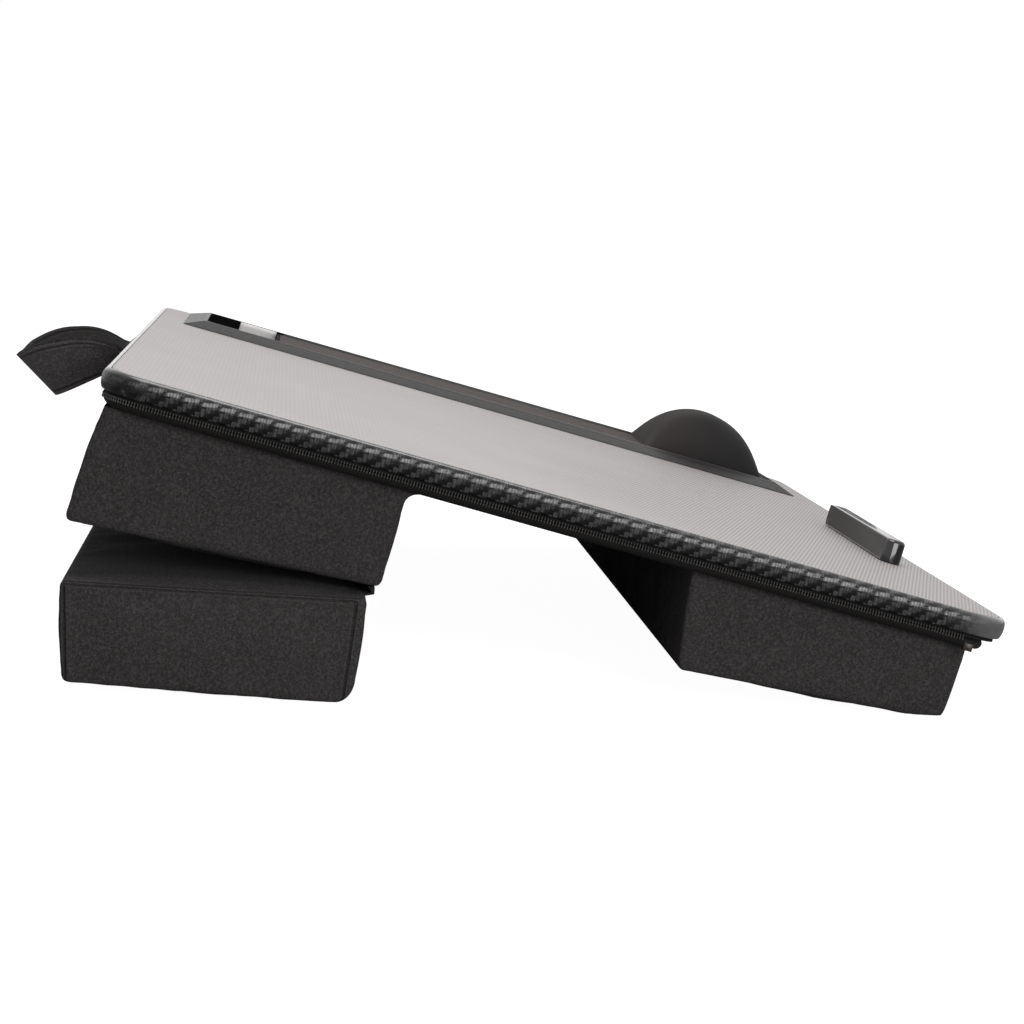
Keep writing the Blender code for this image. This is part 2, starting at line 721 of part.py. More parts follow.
def rest_core_mesh(middle_x, inset):
    """The core: the same arc and ends, drawn in by the cloth, on a low upright hem."""
    base = CLOTH_BOTTOM
    half_y = math.sqrt((REST_RADIUS - inset) ** 2 - (REST_RADIUS - REST_RISE) ** 2) - REST_HEM
    half_x = REST_LENGTH / 2 - inset - REST_HEM
    lines_x = rest_lines(-half_x, half_x, 0.0, half_x, REST_END_RADIUS, END_LINE_SHARES[1:])
    lines_y = rest_lines(-half_y, half_y, 0.0, half_y, half_y, ARC_LINE_SHARES[1:])
    bm = grid_mesh(lines_x[1:-1], lines_y[1:-1])
    for vert in bm.verts:
        x = middle_x - half_x + 2 * half_x * vert.co.x
        y = REST_MIDDLE - half_y + 2 * half_y * vert.co.y
        vert.co = (x, y, max(base + REST_HEM, MAT_TOP - inset + rest_height(x, y, inset)))
    around = bmesh.ops.extrude_edge_only(bm, edges=[e for e in bm.edges if e.is_boundary])
    lower = [v for v in around["geom"] if isinstance(v, bmesh.types.BMVert)]
    for vert in lower:
        vert.co.z = base
    bmesh.ops.holes_fill(bm, edges=[e for e in bm.edges if e.is_boundary], sides=0)
    return bm


def make_upper_zip(lid):
    origin = lid.location
    tape = rectangle(TAPE_IN, TAPE_OUT, UPPER_TAPE_BOTTOM, UPPER_TAPE_TOP)
    add_part("upper_tape", edge_run_mesh(tape), "zip_black", lid, origin)
    coil = rectangle(COIL_IN, COIL_OUT, PARTING + FIT / 2, PARTING + FIT / 2 + COIL_HEIGHT)
    bm = edge_run_mesh(coil, 1, 3, ZIP_END, ZIP_END)
    add_part("upper_coil", bm, "zip_black", lid, origin)


def make_base(desk):
    """Panel, lower tape with its sewn flange, coil, end clip and front piping."""
    half_x = HALF_X + PANEL_EDGE
    half_y = HALF_Y + PANEL_EDGE
    corner = BOARD_CORNER + PANEL_EDGE
    low = (-half_x, -half_y, BASE_BOTTOM)
    panel = plate_mesh(low, (half_x, half_y, BASE_BOTTOM + PANEL_THICK), corner)
    add_part("base_panel", panel, "lining_black", desk)

    flange_in = TAPE_IN - TAPE_FLANGE_WIDTH
    flange_top = BASE_BOTTOM + TAPE_FLANGE_THICK
    section = [
        (flange_in, BASE_BOTTOM),
        (TAPE_OUT, BASE_BOTTOM),
        (TAPE_OUT, LOWER_TAPE_TOP),
        (TAPE_IN, LOWER_TAPE_TOP),
        (TAPE_IN, flange_top),
        (flange_in, flange_top),
    ]
    bm = edge_run_mesh(section, 1, 3, ZIP_END, ZIP_END)
    add_part("lower_tape", bm, "zip_black", desk)
    coil = rectangle(COIL_IN, COIL_OUT, PARTING - FIT / 2 - COIL_HEIGHT, PARTING - FIT / 2)
    bm = edge_run_mesh(coil, 1, 3, ZIP_END, ZIP_END)
    add_part("lower_coil", bm, "zip_black", desk)

    section = circle(PIPING_LINE, BASE_BOTTOM + PIPING_RISE, PIPING_RADIUS)
    bm = edge_run_mesh(section, 3, 5)
    smooth(add_part("front_piping", bm, "zip_black", desk))

    clip = slider_mesh(STOP_CLIP_LENGTH)
    bmesh.ops.scale(clip, vec=(-1.0, 1.0, 1.0), verts=clip.verts)
    clip = add_part("zip_end_clip", clip, "zip_metal", desk)
    clip.location = (HALF_X, ZIP_END - FIT - STOP_CLIP_LENGTH / 2, PARTING)


def slider_mesh(length):
    """A plate outside the coils and a lobe under them, at the left side, parting line at z 0."""
    plate_in = COIL_OUT + FIT
    plate_out = plate_in + SLIDER_PLATE
    top = COIL_HEIGHT
    lobe_top = -FIT / 2 - COIL_HEIGHT - FIT
    bottom = lobe_top - SLIDER_LOBE_HEIGHT
    outline = [
        (-plate_out, bottom),
        (-COIL_IN, bottom),
        (-COIL_IN, lobe_top),
        (-plate_in, lobe_top),
        (-plate_in, top),
        (-plate_out, top),
    ]
    bm = bmesh.new()
    ring = [bm.verts.new((x, -length / 2, z)) for x, z in outline]
    face = bm.faces.new(ring)
    grown = bmesh.ops.extrude_face_region(bm, geom=[face])
    moved = [v for v in grown["geom"] if isinstance(v, bmesh.types.BMVert)]
    bmesh.ops.translate(bm, vec=(0.0, length, 0.0), verts=moved)
    bmesh.ops.recalc_face_normals(bm, faces=bm.faces)
    outer = [
        e
        for e in bm.edges
        if e.calc_length() > FIT and all(v.co.x < -plate_out + FIT / 2 for v in e.verts)
    ]
    bmesh.ops.bevel(bm, geom=outer, offset=SLIDER_EDGE, segments=2, affect="EDGES", profile=0.5)
    return bm


def make_slider(desk):
    slider = add_part("zip_slider", slider_mesh(SLIDER_LENGTH), "zip_metal", desk)
    slider.location = (-HALF_X, ZIP_END - FIT - SLIDER_LENGTH / 2, PARTING)
    smooth(slider)


def inset_profile(profile, distance):
    """The four-sided profile with each side moved inwards."""
    moved = []
    count = len(profile)
    for index in range(count):
        before = profile[index - 1]
        here = profile[index]
        after = profile[(index + 1) % count]
        moved.append(inset_corner(before, here, after, distance))
    return moved


def inset_corner(before, here, after, distance):
    """Where the two sides at a corner cross once both have moved inwards."""
    into = (here[0] - before[0], here[1] - before[1])
    out = (after[0] - here[0], after[1] - here[1])
    size_in = math.hypot(*into)
    size_out = math.hypot(*out)
    into = (into[0] / size_in, into[1] / size_in)
    out = (out[0] / size_out, out[1] / size_out)
    reach = distance / abs(into[0] * out[1] - into[1] * out[0])
    return (here[0] + reach * (out[0] - into[0]), here[1] + reach * (out[1] - into[1]))


END_SHARES = (-0.93, -0.72, -0.3, 0.3, 0.72, 0.93)
DEPTH_SHARES = (-0.55, 0.0, 0.55)
HEIGHT_SHARES = (0.0,)


def cushion_mesh(profile, half_length, radii, open_top, top_crown):
    """A boxed cushion: crowned faces, long sides drawn in, and a radius for each long edge."""
    bm = bmesh.new()
    bmesh.ops.create_cube(bm, size=2.0)
    for axis, shares in enumerate((END_SHARES, DEPTH_SHARES, HEIGHT_SHARES)):
        for share in shares:
            point = [0.0, 0.0, 0.0]
            normal = [0.0, 0.0, 0.0]
            point[axis] = share
            normal[axis] = 1.0
            geometry = bm.verts[:] + bm.edges[:] + bm.faces[:]
            bmesh.ops.bisect_plane(bm, geom=geometry, dist=UNIT_WELD_SHARE, plane_co=point, plane_no=normal)
    if open_top:
        top = [f for f in bm.faces if all(v.co.z > 0.99 for v in f.verts)]
        bmesh.ops.delete(bm, geom=top, context="FACES")
    weigh_edges(bm, radii, open_top)
    rear_top, rear_bottom, front_bottom, front_top = profile
    for vert in bm.verts:
        a, b, c = vert.co
        low = [f + (r - f) * (b + 1) / 2 for f, r in zip(front_bottom, rear_bottom)]
        high = [f + (r - f) * (b + 1) / 2 for f, r in zip(front_top, rear_top)]
        y = low[0] + (high[0] - low[0]) * (c + 1) / 2
        z = low[1] + (high[1] - low[1]) * (c + 1) / 2
        x = a * half_length
        along = 1 - a**6
        if abs(a) > 0.99:
            x += math.copysign(CROWN * (1 - b**4) * (1 - c**2), a)
        if abs(b) > 0.99:
            y += math.copysign(SIDE_CROWN * along * (1 - c**2) - DRAW_IN * (1 - a**2), b)
        if c < -0.99:
            z -= CROWN * along * (1 - b**2)
        elif c > 0.99:
            z += top_crown * along * (1 - b**2)
        vert.co = (x, y, z)
    return bm


def weigh_edges(bm, radii, open_top):
    """Marks each edge of the box with its radius, as a share of the largest."""
    layer = bm.edges.layers.float.new("bevel_weight_edge")
    largest = max(radii.values())
    for edge in bm.edges:
        first, second = edge.verts[0].co, edge.verts[1].co
        held = [
            axis
            for axis in range(3)
            if abs(first[axis]) > 0.99 and abs(first[axis] - second[axis]) < 0.01
        ]
        if len(held) != 2:
            continue
        if open_top and 2 in held and first[2] > 0:
            continue
        name = "ends"
        if held == [1, 2]:
            name = ("front_" if first[1] < 0 else "rear_") + ("bottom" if first[2] < 0 else "top")
        edge[layer] = radii[name] / largest


def edge_radii(**changed):
    radii = dict.fromkeys(("ends", "front_bottom", "rear_bottom", "front_top", "rear_top"), CUSHION_EDGE)
    radii.update(changed)
    return radii


def round_cushion(made, radii):
    bevel = made.modifiers.new("rounding", "BEVEL")
    bevel.limit_method = "WEIGHT"
    bevel.width = max(radii.values())
    bevel.segments = 2
    bevel.profile = 0.5


def make_cushion(stem, profile, half_length, radii, parent, origin, closed):
    """A sewn cover and the foam in it."""
    top_crown = CROWN if closed else 0.0
    bm = cushion_mesh(profile, half_length, radii, not closed, top_crown)
    cover = add_part(stem + "_cover", bm, "base_fabric", parent, origin)
    round_cushion(cover, radii)
    wall = cover.modifiers.new("cloth", "SOLIDIFY")
    wall.thickness = COVER_WALL
    wall.offset = -1.0
    smooth(cover)
    inset = COVER_WALL + FOAM_GAP
    smaller = {name: max(radius - inset, inset / 2) for name, radius in radii.items()}
    inner = inset_profile(profile, inset)
    bm = cushion_mesh(inner, half_length - inset, smaller, False, top_crown)
    foam = add_part(stem + "_foam", bm, "foam_grey", parent, origin)
    round_cushion(foam, smaller)
    smooth(foam)
    return cover


def make_bolsters(desk):
    half_length = HALF_X - BOLSTER_END_INSET
    radii = edge_radii()
    here = (0.0, 0.0, 0.0)
    make_cushion("rear_bolster", REAR_PROFILE, half_length, radii, desk, here, False)
    radii = edge_radii(front_bottom=FRONT_FOOT_RADIUS)
    front = make_cushion("front_bolster", FRONT_PROFILE, half_length, radii, desk, here, False)
    boolean(front, FLOOR)


def hinge_tape_mesh(half_length):
    """Cloth bent at the hinge axis: one arm to the bolster's edge and one to the riser's."""
    front_top = RISER_PROFILE[3]
    corner = REAR_PROFILE[2]
    bolster = (corner[0] + CUSHION_EDGE - HINGE_Y, corner[1] + CUSHION_EDGE - HINGE_Z)
    middles = (
        Vector(turned(bolster, RISER_SLOPE)),
        Vector((front_top[0] + CUSHION_EDGE, front_top[1] - CUSHION_EDGE)),
    )
    up, down = (middle.normalized() for middle in middles)
    up_end, down_end = (
        middle.normalized() * (middle.length - CUSHION_EDGE - HINGE_TAPE_GAP) for middle in middles
    )
    half = HINGE_TAPE_THICK / 2
    up_side = Vector((-up.y, up.x)) * half
    down_side = Vector((down.y, -down.x)) * half
    bend = (up + down).normalized()
    inner = bend * half / math.sin(up.angle(down) / 2)
    outline = (
        up_end + up_side,
        up_end - up_side,
        inner,
        down_end - down_side,
        down_end + down_side,
        down_side,
        -bend * half,
        up_side,
    )
    bm = bmesh.new()
    face = bm.faces.new([bm.verts.new((-half_length, *point)) for point in outline])
    far = bmesh.ops.extrude_face_region(bm, geom=[face])
    ends = [item for item in far["geom"] if isinstance(item, bmesh.types.BMVert)]
    bmesh.ops.translate(bm, verts=ends, vec=(2 * half_length, 0.0, 0.0))
    bmesh.ops.recalc_face_normals(bm, faces=bm.faces)
    return bm


def make_riser(hinge):
    half_length = HALF_X - BOLSTER_END_INSET + RISER_OVERHANG
    radii = edge_radii(front_bottom=RISER_FOOT_RADIUS, rear_bottom=RISER_FOOT_RADIUS)
    here = (0.0, 0.0, 0.0)
    cover = make_cushion("riser", RISER_PROFILE, half_length, radii, hinge, here, True)
    middle = RISER_FROM_HINGE + RISER_DEPTH / 2
    top = CROWN - RISER_UNDER_HINGE
    slit = box_mesh(
        (-FILL_SLIT_LENGTH / 2, middle - FILL_SLIT_WIDTH / 2, top - COVER_WALL - FOAM_GAP / 2),
        (FILL_SLIT_LENGTH / 2, middle + FILL_SLIT_WIDTH / 2, top + CUT),
    )
    boolean(cover, add_cutter("fill_slit_cutter", slit, hinge))
    boolean(cover, FLOOR)

    bm = hinge_tape_mesh(HALF_X - BOLSTER_END_INSET - CUSHION_EDGE)
    smooth(add_part("riser_hinge_tape", bm, "base_fabric", hinge))


def strap_point(across, along):
    """A point of the strap about the handle's axis: along 0 to 1 round the loop, across its width."""
    angle = math.pi * (along - 0.5)
    out = math.cos(angle)
    side = math.sin(angle)
    reach = -HANDLE_ROOT + (HANDLE_REACH + HANDLE_ROOT) * out
    outer = (
        HANDLE_SPAN / 2 * side,
        reach,
        HANDLE_RISE * 4 * out * (1 - out) - HANDLE_DROOP * out**1.8,
    )
    inner = (
        (HANDLE_SPAN / 2 - STRAP_WIDTH) * side,
        -HANDLE_ROOT + (HANDLE_INNER_REACH + HANDLE_ROOT) * out,
        -HANDLE_INNER_DROOP * math.sin(math.pi / 2 * out),
    )
    return [a + (b - a) * across for a, b in zip(outer, inner)]


def make_handle(hinge):
    bm = grid_mesh(
        [step / 2 for step in range(1, 2)], [step / STRAP_STEPS for step in range(1, STRAP_STEPS)]
    )
    for vert in bm.verts:
        vert.co = strap_point(vert.co.x, min(max(vert.co.y, 0.0), 1.0))
    strap = add_part("handle_strap", bm, "base_fabric", hinge)
    wall = strap.modifiers.new("webbing", "SOLIDIFY")
    wall.thickness = STRAP_THICK
    wall.offset = 0.0
    smooth(strap)


clear_scene()
PARTS = new_collection("lap_desk")
CUTTERS = new_collection("cutters", hidden=True)
FLOOR = add_cutter(
    "floor_cutter",
    box_mesh((-BOARD_WIDTH, -BOARD_DEPTH, -FLOOR_BLOCK), (BOARD_WIDTH, BOARD_DEPTH, 0.0)),
    None,
)
DESK = empty("desk_tilt", None, (0.0, DESK_Y, DESK_HEIGHT), TILT)
LID = empty("lid_hinge", DESK, (0.0, LID_AXIS_Y, LID_AXIS_Z))
RISER = empty("riser_hinge", DESK, (0.0, HINGE_Y, HINGE_Z), -RISER_SLOPE)
HANDLE = empty(
    "handle_hinge", LID, (0.0, HANDLE_AXIS_Y - LID_AXIS_Y, -HANDLE_AXIS_DROP - LID_AXIS_Z)
)
screw_holes = make_board(LID)
make_stop_bar(LID, screw_holes)
make_screws(LID)
make_tray(LID)
make_mat(LID)
make_upper_zip(LID)
make_base(DESK)
make_slider(DESK)
make_bolsters(DESK)
make_riser(RISER)
make_handle(HANDLE)
print(f"tilt {math.degrees(TILT):.2f} deg, desk frame {DESK_HEIGHT:.5f} m up, {DESK_Y:.5f} m along Y")
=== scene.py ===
"""Lap desk: finishes, soft pieces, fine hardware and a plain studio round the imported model."""

import json
import math

import bmesh
import bpy
import numpy as np
from bpy.props import FloatProperty, FloatVectorProperty, IntProperty, PointerProperty
from mathutils import Matrix, Vector, noise


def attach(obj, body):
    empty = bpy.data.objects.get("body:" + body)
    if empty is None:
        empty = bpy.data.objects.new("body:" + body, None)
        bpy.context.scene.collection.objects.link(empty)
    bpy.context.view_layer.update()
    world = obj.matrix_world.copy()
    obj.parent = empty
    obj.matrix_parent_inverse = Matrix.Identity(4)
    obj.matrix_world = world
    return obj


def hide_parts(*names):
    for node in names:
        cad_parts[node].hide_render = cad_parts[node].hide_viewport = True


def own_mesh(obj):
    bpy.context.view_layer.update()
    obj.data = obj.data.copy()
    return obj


bl_info = {
    "name": "Lap Desk Finish",
    "version": (1, 0, 0),
    "blender": (4, 5, 0),
    "location": "3D View > Sidebar > Lap Desk",
    "description": "Dresses a lap desk: ribbed top, carbon edge, zipper, tray, cushions and handle",
    "category": "Object",
}

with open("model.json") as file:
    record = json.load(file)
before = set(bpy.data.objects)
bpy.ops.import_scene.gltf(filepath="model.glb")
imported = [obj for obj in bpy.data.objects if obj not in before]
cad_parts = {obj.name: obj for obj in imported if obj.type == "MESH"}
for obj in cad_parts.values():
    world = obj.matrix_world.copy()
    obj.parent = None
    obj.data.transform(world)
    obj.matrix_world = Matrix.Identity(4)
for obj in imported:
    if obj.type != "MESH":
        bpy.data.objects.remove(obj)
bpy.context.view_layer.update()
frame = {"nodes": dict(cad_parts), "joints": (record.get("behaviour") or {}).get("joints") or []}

JOINTS = {joint["name"]: joint for joint in frame["joints"]}

# The board's edge in the desk frame, whose origin is the middle of the ribbed sheet's top.
HALF_X = 0.274
HALF_Y = 0.179
CORNER = 0.015
GAP = 0.0003
BAND_OUT = 0.003
BAND_BOTTOM = -0.0085
PARTING = -0.0103
BASE_BOTTOM = -0.0143
RIM = -0.0146
ZIP_END = -0.1637
EDGE_SPACING = 0.012
LID_AXIS = Vector((0.0, -0.182, -0.00865))
RISER_AXIS = Vector((0.0, 0.06, -0.0566))
RISER_SLOPE = math.radians(12.06)

# The welt's line: the middle of its turns, their radius, and its height.
WELT_X = 0.259
WELT_Y = -0.164
WELT_TURN = 0.0092
WELT_Z = -0.0124
WELT_RADIUS = 0.00225

# The edge strip's section: the height of the row on its shoulder where a highlight is painted and
# how far that row reaches, and its two curves.
HIGHLIGHT_HEIGHT = -0.0029
HIGHLIGHT_REACH = 0.0014
CURVE_DROP = 0.0038
FOOT_DRAW = 0.0016

# The coils' middle line: how far out it stands, and how far it lies below the parting.
COIL_OUT = 0.0006
COIL_DROP = 0.0003

# The tray's outline, and how far in from it a groove with painted shade and a lip with a painted
# highlight run.
TRAY_MIDDLE = (0.211, -0.0008)
TRAY_HALF = (0.057, 0.167)
BEZEL_GROOVE = 0.0076
BEZEL_LIP = 0.0104

# The tray's well, the pocket behind it, and the label on the pocket's wall.
WELL = ((0.1653, -0.1565), (0.2567, 0.1156))
WELL_CORNER = 0.003
WELL_MARGIN = 0.001
POCKET_END = 0.1174
POCKET_REAR = 0.156
POCKET_TOP = 0.0039
DIVIDER = (POCKET_END - 0.0024, POCKET_END + 0.0004)
DIVIDER_FOOT = -0.002
LABEL_REAR = 0.1380
LABEL_TOP = 0.0040
LABEL_FOOT = -0.0040
LABEL_THICKNESS = 0.00024

# The mat, and the wrist rest: its chord, rise, length and rounded ends.
MAT_TOP = 0.003
MAT_EDGE = 0.0009
REST_FOOT = 0.0004
REST_CHORD = 0.064
REST_RISE = 0.025
REST_LENGTH = 0.089
REST_END = 0.036
REST_MIDDLE = WELL[0][1] + GAP + 0.0052 + REST_CHORD / 2
REST_RADIUS = (REST_CHORD**2 / 4 + REST_RISE**2) / (2 * REST_RISE)

# Rounding of the small hard pieces' edges.
METAL_EDGE = 0.0006
STOP_EDGE = 0.00025
GRIP_EDGE = 0.0002
TAPE_EDGE = 0.0002

# Spans (start, length) of a solid, and of the piece that is drawn for it.
SLIDER_Y = (-0.16775, 1.0), (-0.1662, 0.5)
SLIDER_Z = (-0.01208, 1.0), (-0.0135, 0.52)
GRIP_X = (-0.135, 0.127), (-0.1374, 0.1338)
GRIP_Z = (0.0015, 0.0067), (0.0004, 0.0098)

# The hinge tape's rear half stands out further, to meet the riser's cover.
HINGE_TAPE_START = 0.0008
HINGE_TAPE_SHIFT = 0.0018

# Cushions: each profile is rear top, rear bottom, front bottom, front top, as (y, z). The crowns
# are how far the cover stands out below, behind, in front and at the ends, and lean moves the
# fullness below towards the rear. The end seams stand in from the rear, top and front edges.
REAR_SHAPE = {
    "profile": ((0.1778, RIM), (0.1808, -0.0607), (0.0583, -0.0535), (0.0583, RIM)),
    "half_length": 0.266,
    "foot": 0.0026,
    "crowns": {"bottom": 0.0011, "rear": 0.0012, "front": 0.0002, "end": 0.001, "lean": 0.35},
    "skirt": 0.0065,
}
FRONT_SHAPE = {
    "profile": ((-0.0561, RIM), (-0.0618, -0.0534), (-0.1675, -0.0452), (-0.1689, RIM)),
    "half_length": 0.266,
    "foot": 0.0055,
    "crowns": {"bottom": 0.001, "rear": 0.0008, "front": 0.0006, "end": 0.001, "lean": -0.2},
}
RISER_SHAPE = {
    "profile": ((0.1186, -0.0002), (0.1158, -0.0389), (0.0060, -0.0414), (0.0026, -0.0002)),
    "half_length": 0.278,
    "foot": 0.0085,
    "crowns": {"bottom": 0.0008, "rear": 0.0012, "front": 0.0004, "end": 0.001},
    "seams": (0.0012, 0.0012, 0.0038),
}
COVER_EDGE = 0.0022
FINE_STEPS = (0.0, 0.0008, 0.0017, 0.0027, 0.0039, 0.0055, 0.0078, 0.011)
SKIRT_DEPTH = 0.012
HELD_RIM = 0.0024
HELD_FADE = 0.008
SINK_LIMIT = 0.0002
RIPPLE = 0.0007
GROUND_GAP = 0.0002
CLOTH = {
    "quality": 5,
    "mass": 0.25,
    "tension_stiffness": 22,
    "compression_stiffness": 22,
    "shear_stiffness": 8,
    "bending_stiffness": 0.08,
    "use_pressure": True,
    "uniform_pressure_force": 3.5,
    "shrink_min": -0.012,
    "vertex_group_mass": "hold",
    "pin_stiffness": 1.0,
}

# The handle's loop: its half width, its reach at both edges of the strap, its squareness and how
# far its roots go in. Then its bow and sag, the dip and lift of its far half, the lift of its
# near half, and the drop of the inner edge along the loop and at once.
LOOP_HALF = 0.07
LOOP_REACH = (0.0478, 0.0262)
LOOP_CORNER = 0.52
LOOP_ROOT = 0.0004
LOOP_BOW = 0.0012
LOOP_SAG = 0.0166
FAR_DIP = 0.0052
FAR_LIFT = 0.0073
NEAR_LIFT = 0.0015
INNER_DROP = (0.0235, 0.0068)
HEM_IN = 0.0022
STRAP_EDGE = 0.0007

# The camera and the lamps, each lamp as name, place, size and power.
CAMERA_POINT = Vector((-1.39715581, 0.1336938, 0.0869577))
CAMERA_TURN = Matrix(
    ((-0.0742, -0.958, 0.2771), (-0.111, -0.2682, -0.9569), (0.991, -0.1018, -0.0864))
)
LENS = 104.556
LAMPS = ("key", (-0.25, -0.1, 1.5), 0.9, 12.7), ("fill", (-1.75, -0.5, 0.36), 0.8, 13.5)
LAMP_AIM = Vector((0.0, 0.0, 0.06))
FLOOR_SIZE = 12.0
FLOOR_DROP = 0.0002
FLOOR_TONE = 0.42
FLOOR_GLOW = 0.97
WORLD_LEVEL = 0.13


def desk_matrix():
    """The desk frame: its slope is the zipper's line, and its place is the lid's hinge."""
    along = Vector(JOINTS["zip_slide"]["axis"])
    turn = Matrix.Rotation(math.atan2(along.z, along.y), 4, "X")
    place = Vector(JOINTS["board_open"]["pos_m"]) - turn.to_3x3() @ LID_AXIS
    return Matrix.Translation(place) @ turn


DESK = desk_matrix()
RISER = DESK @ Matrix.Translation(RISER_AXIS) @ Matrix.Rotation(-RISER_SLOPE, 4, "X")
STRAP_AXIS = DESK.inverted() @ Vector(JOINTS["handle_swing"]["pos_m"])


def metres(name, description, default):
    return FloatProperty(name=name, description=description, default=default, unit="LENGTH")


def tint(name, description, default):
    return FloatVectorProperty(name=name, description=description, default=default, subtype="COLOR")


class DeskSizes(bpy.types.PropertyGroup):
    """Sizes of the finish and the fine pieces."""

    rib_pitch: metres("Rib pitch", "Spacing of the sheet's ribs", 0.00147)
    rib_skew: FloatProperty(
        name="Rib skew", description="Lean of the ribs", default=math.radians(13), subtype="ANGLE"
    )
    tow_width: metres("Tow width", "Width of a carbon tow", 0.00176)
    tooth_pitch: metres("Tooth pitch", "Spacing of the zipper's coil", 0.00115)
    tooth_height: metres("Tooth height", "Height of a coil turn", 0.00105)
    tooth_depth: metres("Tooth depth", "How far a coil turn stands out", 0.0011)
    cloth_cell: metres("Cloth cell", "Spacing of the cushions' mesh", 0.0065)
    cushion_swell: metres("Cushion swell", "Most that cloth may move", 0.0028)
    strap_width: metres("Strap width", "Width of the handle's strap", 0.025)
    strap_thickness: metres("Strap thickness", "Thickness of the strap", 0.002)
    edge_radius: metres("Moulded edge", "Rounding of moulded edges", 0.0004)
    settle_frames: IntProperty(
        name="Settling frames", description="Steps of the cloth's settling", default=14, min=1
    )


class DeskColours(bpy.types.PropertyGroup):
    """Colours of the finishes."""

    sheet: tint("Sheet", "Ribbed vinyl", (0.5, 0.467, 0.459))
    carbon_low: tint("Carbon low", "Between the tows", (0.004, 0.004, 0.0045))
    carbon_high: tint("Carbon high", "Crown of the tows", (0.11, 0.108, 0.11))
    cloth: tint("Cloth", "Cushion cloth", (0.045, 0.042, 0.0415))
    coil: tint("Coil", "Zipper coil", (0.06, 0.057, 0.056))
    tape: tint("Tape", "Zipper tape", (0.012, 0.011, 0.0105))
    moulding: tint("Moulding", "Satin plastic", (0.014, 0.0128, 0.0124))
    mat: tint("Mat", "Mouse mat's cloth", (0.075, 0.062, 0.056))
    grip: tint("Grip", "Stop bar's pad", (0.085, 0.08, 0.078))


def sizes():
    return bpy.context.scene.lap_desk_sizes


def colours():
    return bpy.context.scene.lap_desk_colours


# Finishes.


def add_node(tree, kind, settings, inputs):
    """Adds a node, sets it up, links or sets its inputs by name or number, gives its outputs."""
    node = tree.nodes.new(kind)
    for key, value in settings.items():
        setattr(node, key, value)
    for key, value in inputs.items():
        if isinstance(value, bpy.types.NodeSocket):
            tree.links.new(value, node.inputs[key])
        else:
            node.inputs[key].default_value = value
    return node.outputs


def operator(operation, reflected=False):
    """A method that adds the Math node of an operator of two values."""

    def apply(self, other):
        return self.math(operation, other, reflected=reflected)

    return apply


class Wire:
    """A socket that takes part in arithmetic: each operator adds the Math node it names."""

    __add__ = operator("ADD")
    __radd__ = operator("ADD", True)
    __sub__ = operator("SUBTRACT")
    __rsub__ = operator("SUBTRACT", True)
    __mul__ = operator("MULTIPLY")
    __rmul__ = operator("MULTIPLY", True)
    __truediv__ = operator("DIVIDE")
    __pow__ = operator("POWER")
    __mod__ = operator("FLOORED_MODULO")
    __lt__ = operator("LESS_THAN")

    def __init__(self, finish, socket):
        self.finish = finish
        self.socket = socket

    def math(self, operation, *others, reflected=False):
        values = (*others, self) if reflected else (self, *others)
        settings = {"operation": operation}
        return self.finish.add("ShaderNodeMath", settings, dict(enumerate(values)))

    def __abs__(self):
        return self.math("ABSOLUTE")

    def floor(self):
        return self.math("FLOOR")

    def fract(self):
        return self.math("FRACT")

    def sine(self):
        return self.math("SINE")

    def ramp(self, low, high, to_low=0.0, to_high=1.0):
        """The value taken smoothly from low..high to to_low..to_high, and held past both."""
        values = {0: self, 1: low, 2: high, 3: to_low, 4: to_high}
        settings = {"interpolation_type": "SMOOTHSTEP"}
        return self.finish.add("ShaderNodeMapRange", settings, values)


SOCKETS = {
    "base_color": "Base Color",
    "roughness": "Roughness",
    "normal": "Normal",
    "specular": "Specular IOR Level",
    "sheen": "Sheen Weight",
    "sheen_roughness": "Sheen Roughness",
    "coat": "Coat Weight",
    "coat_roughness": "Coat Roughness",
}


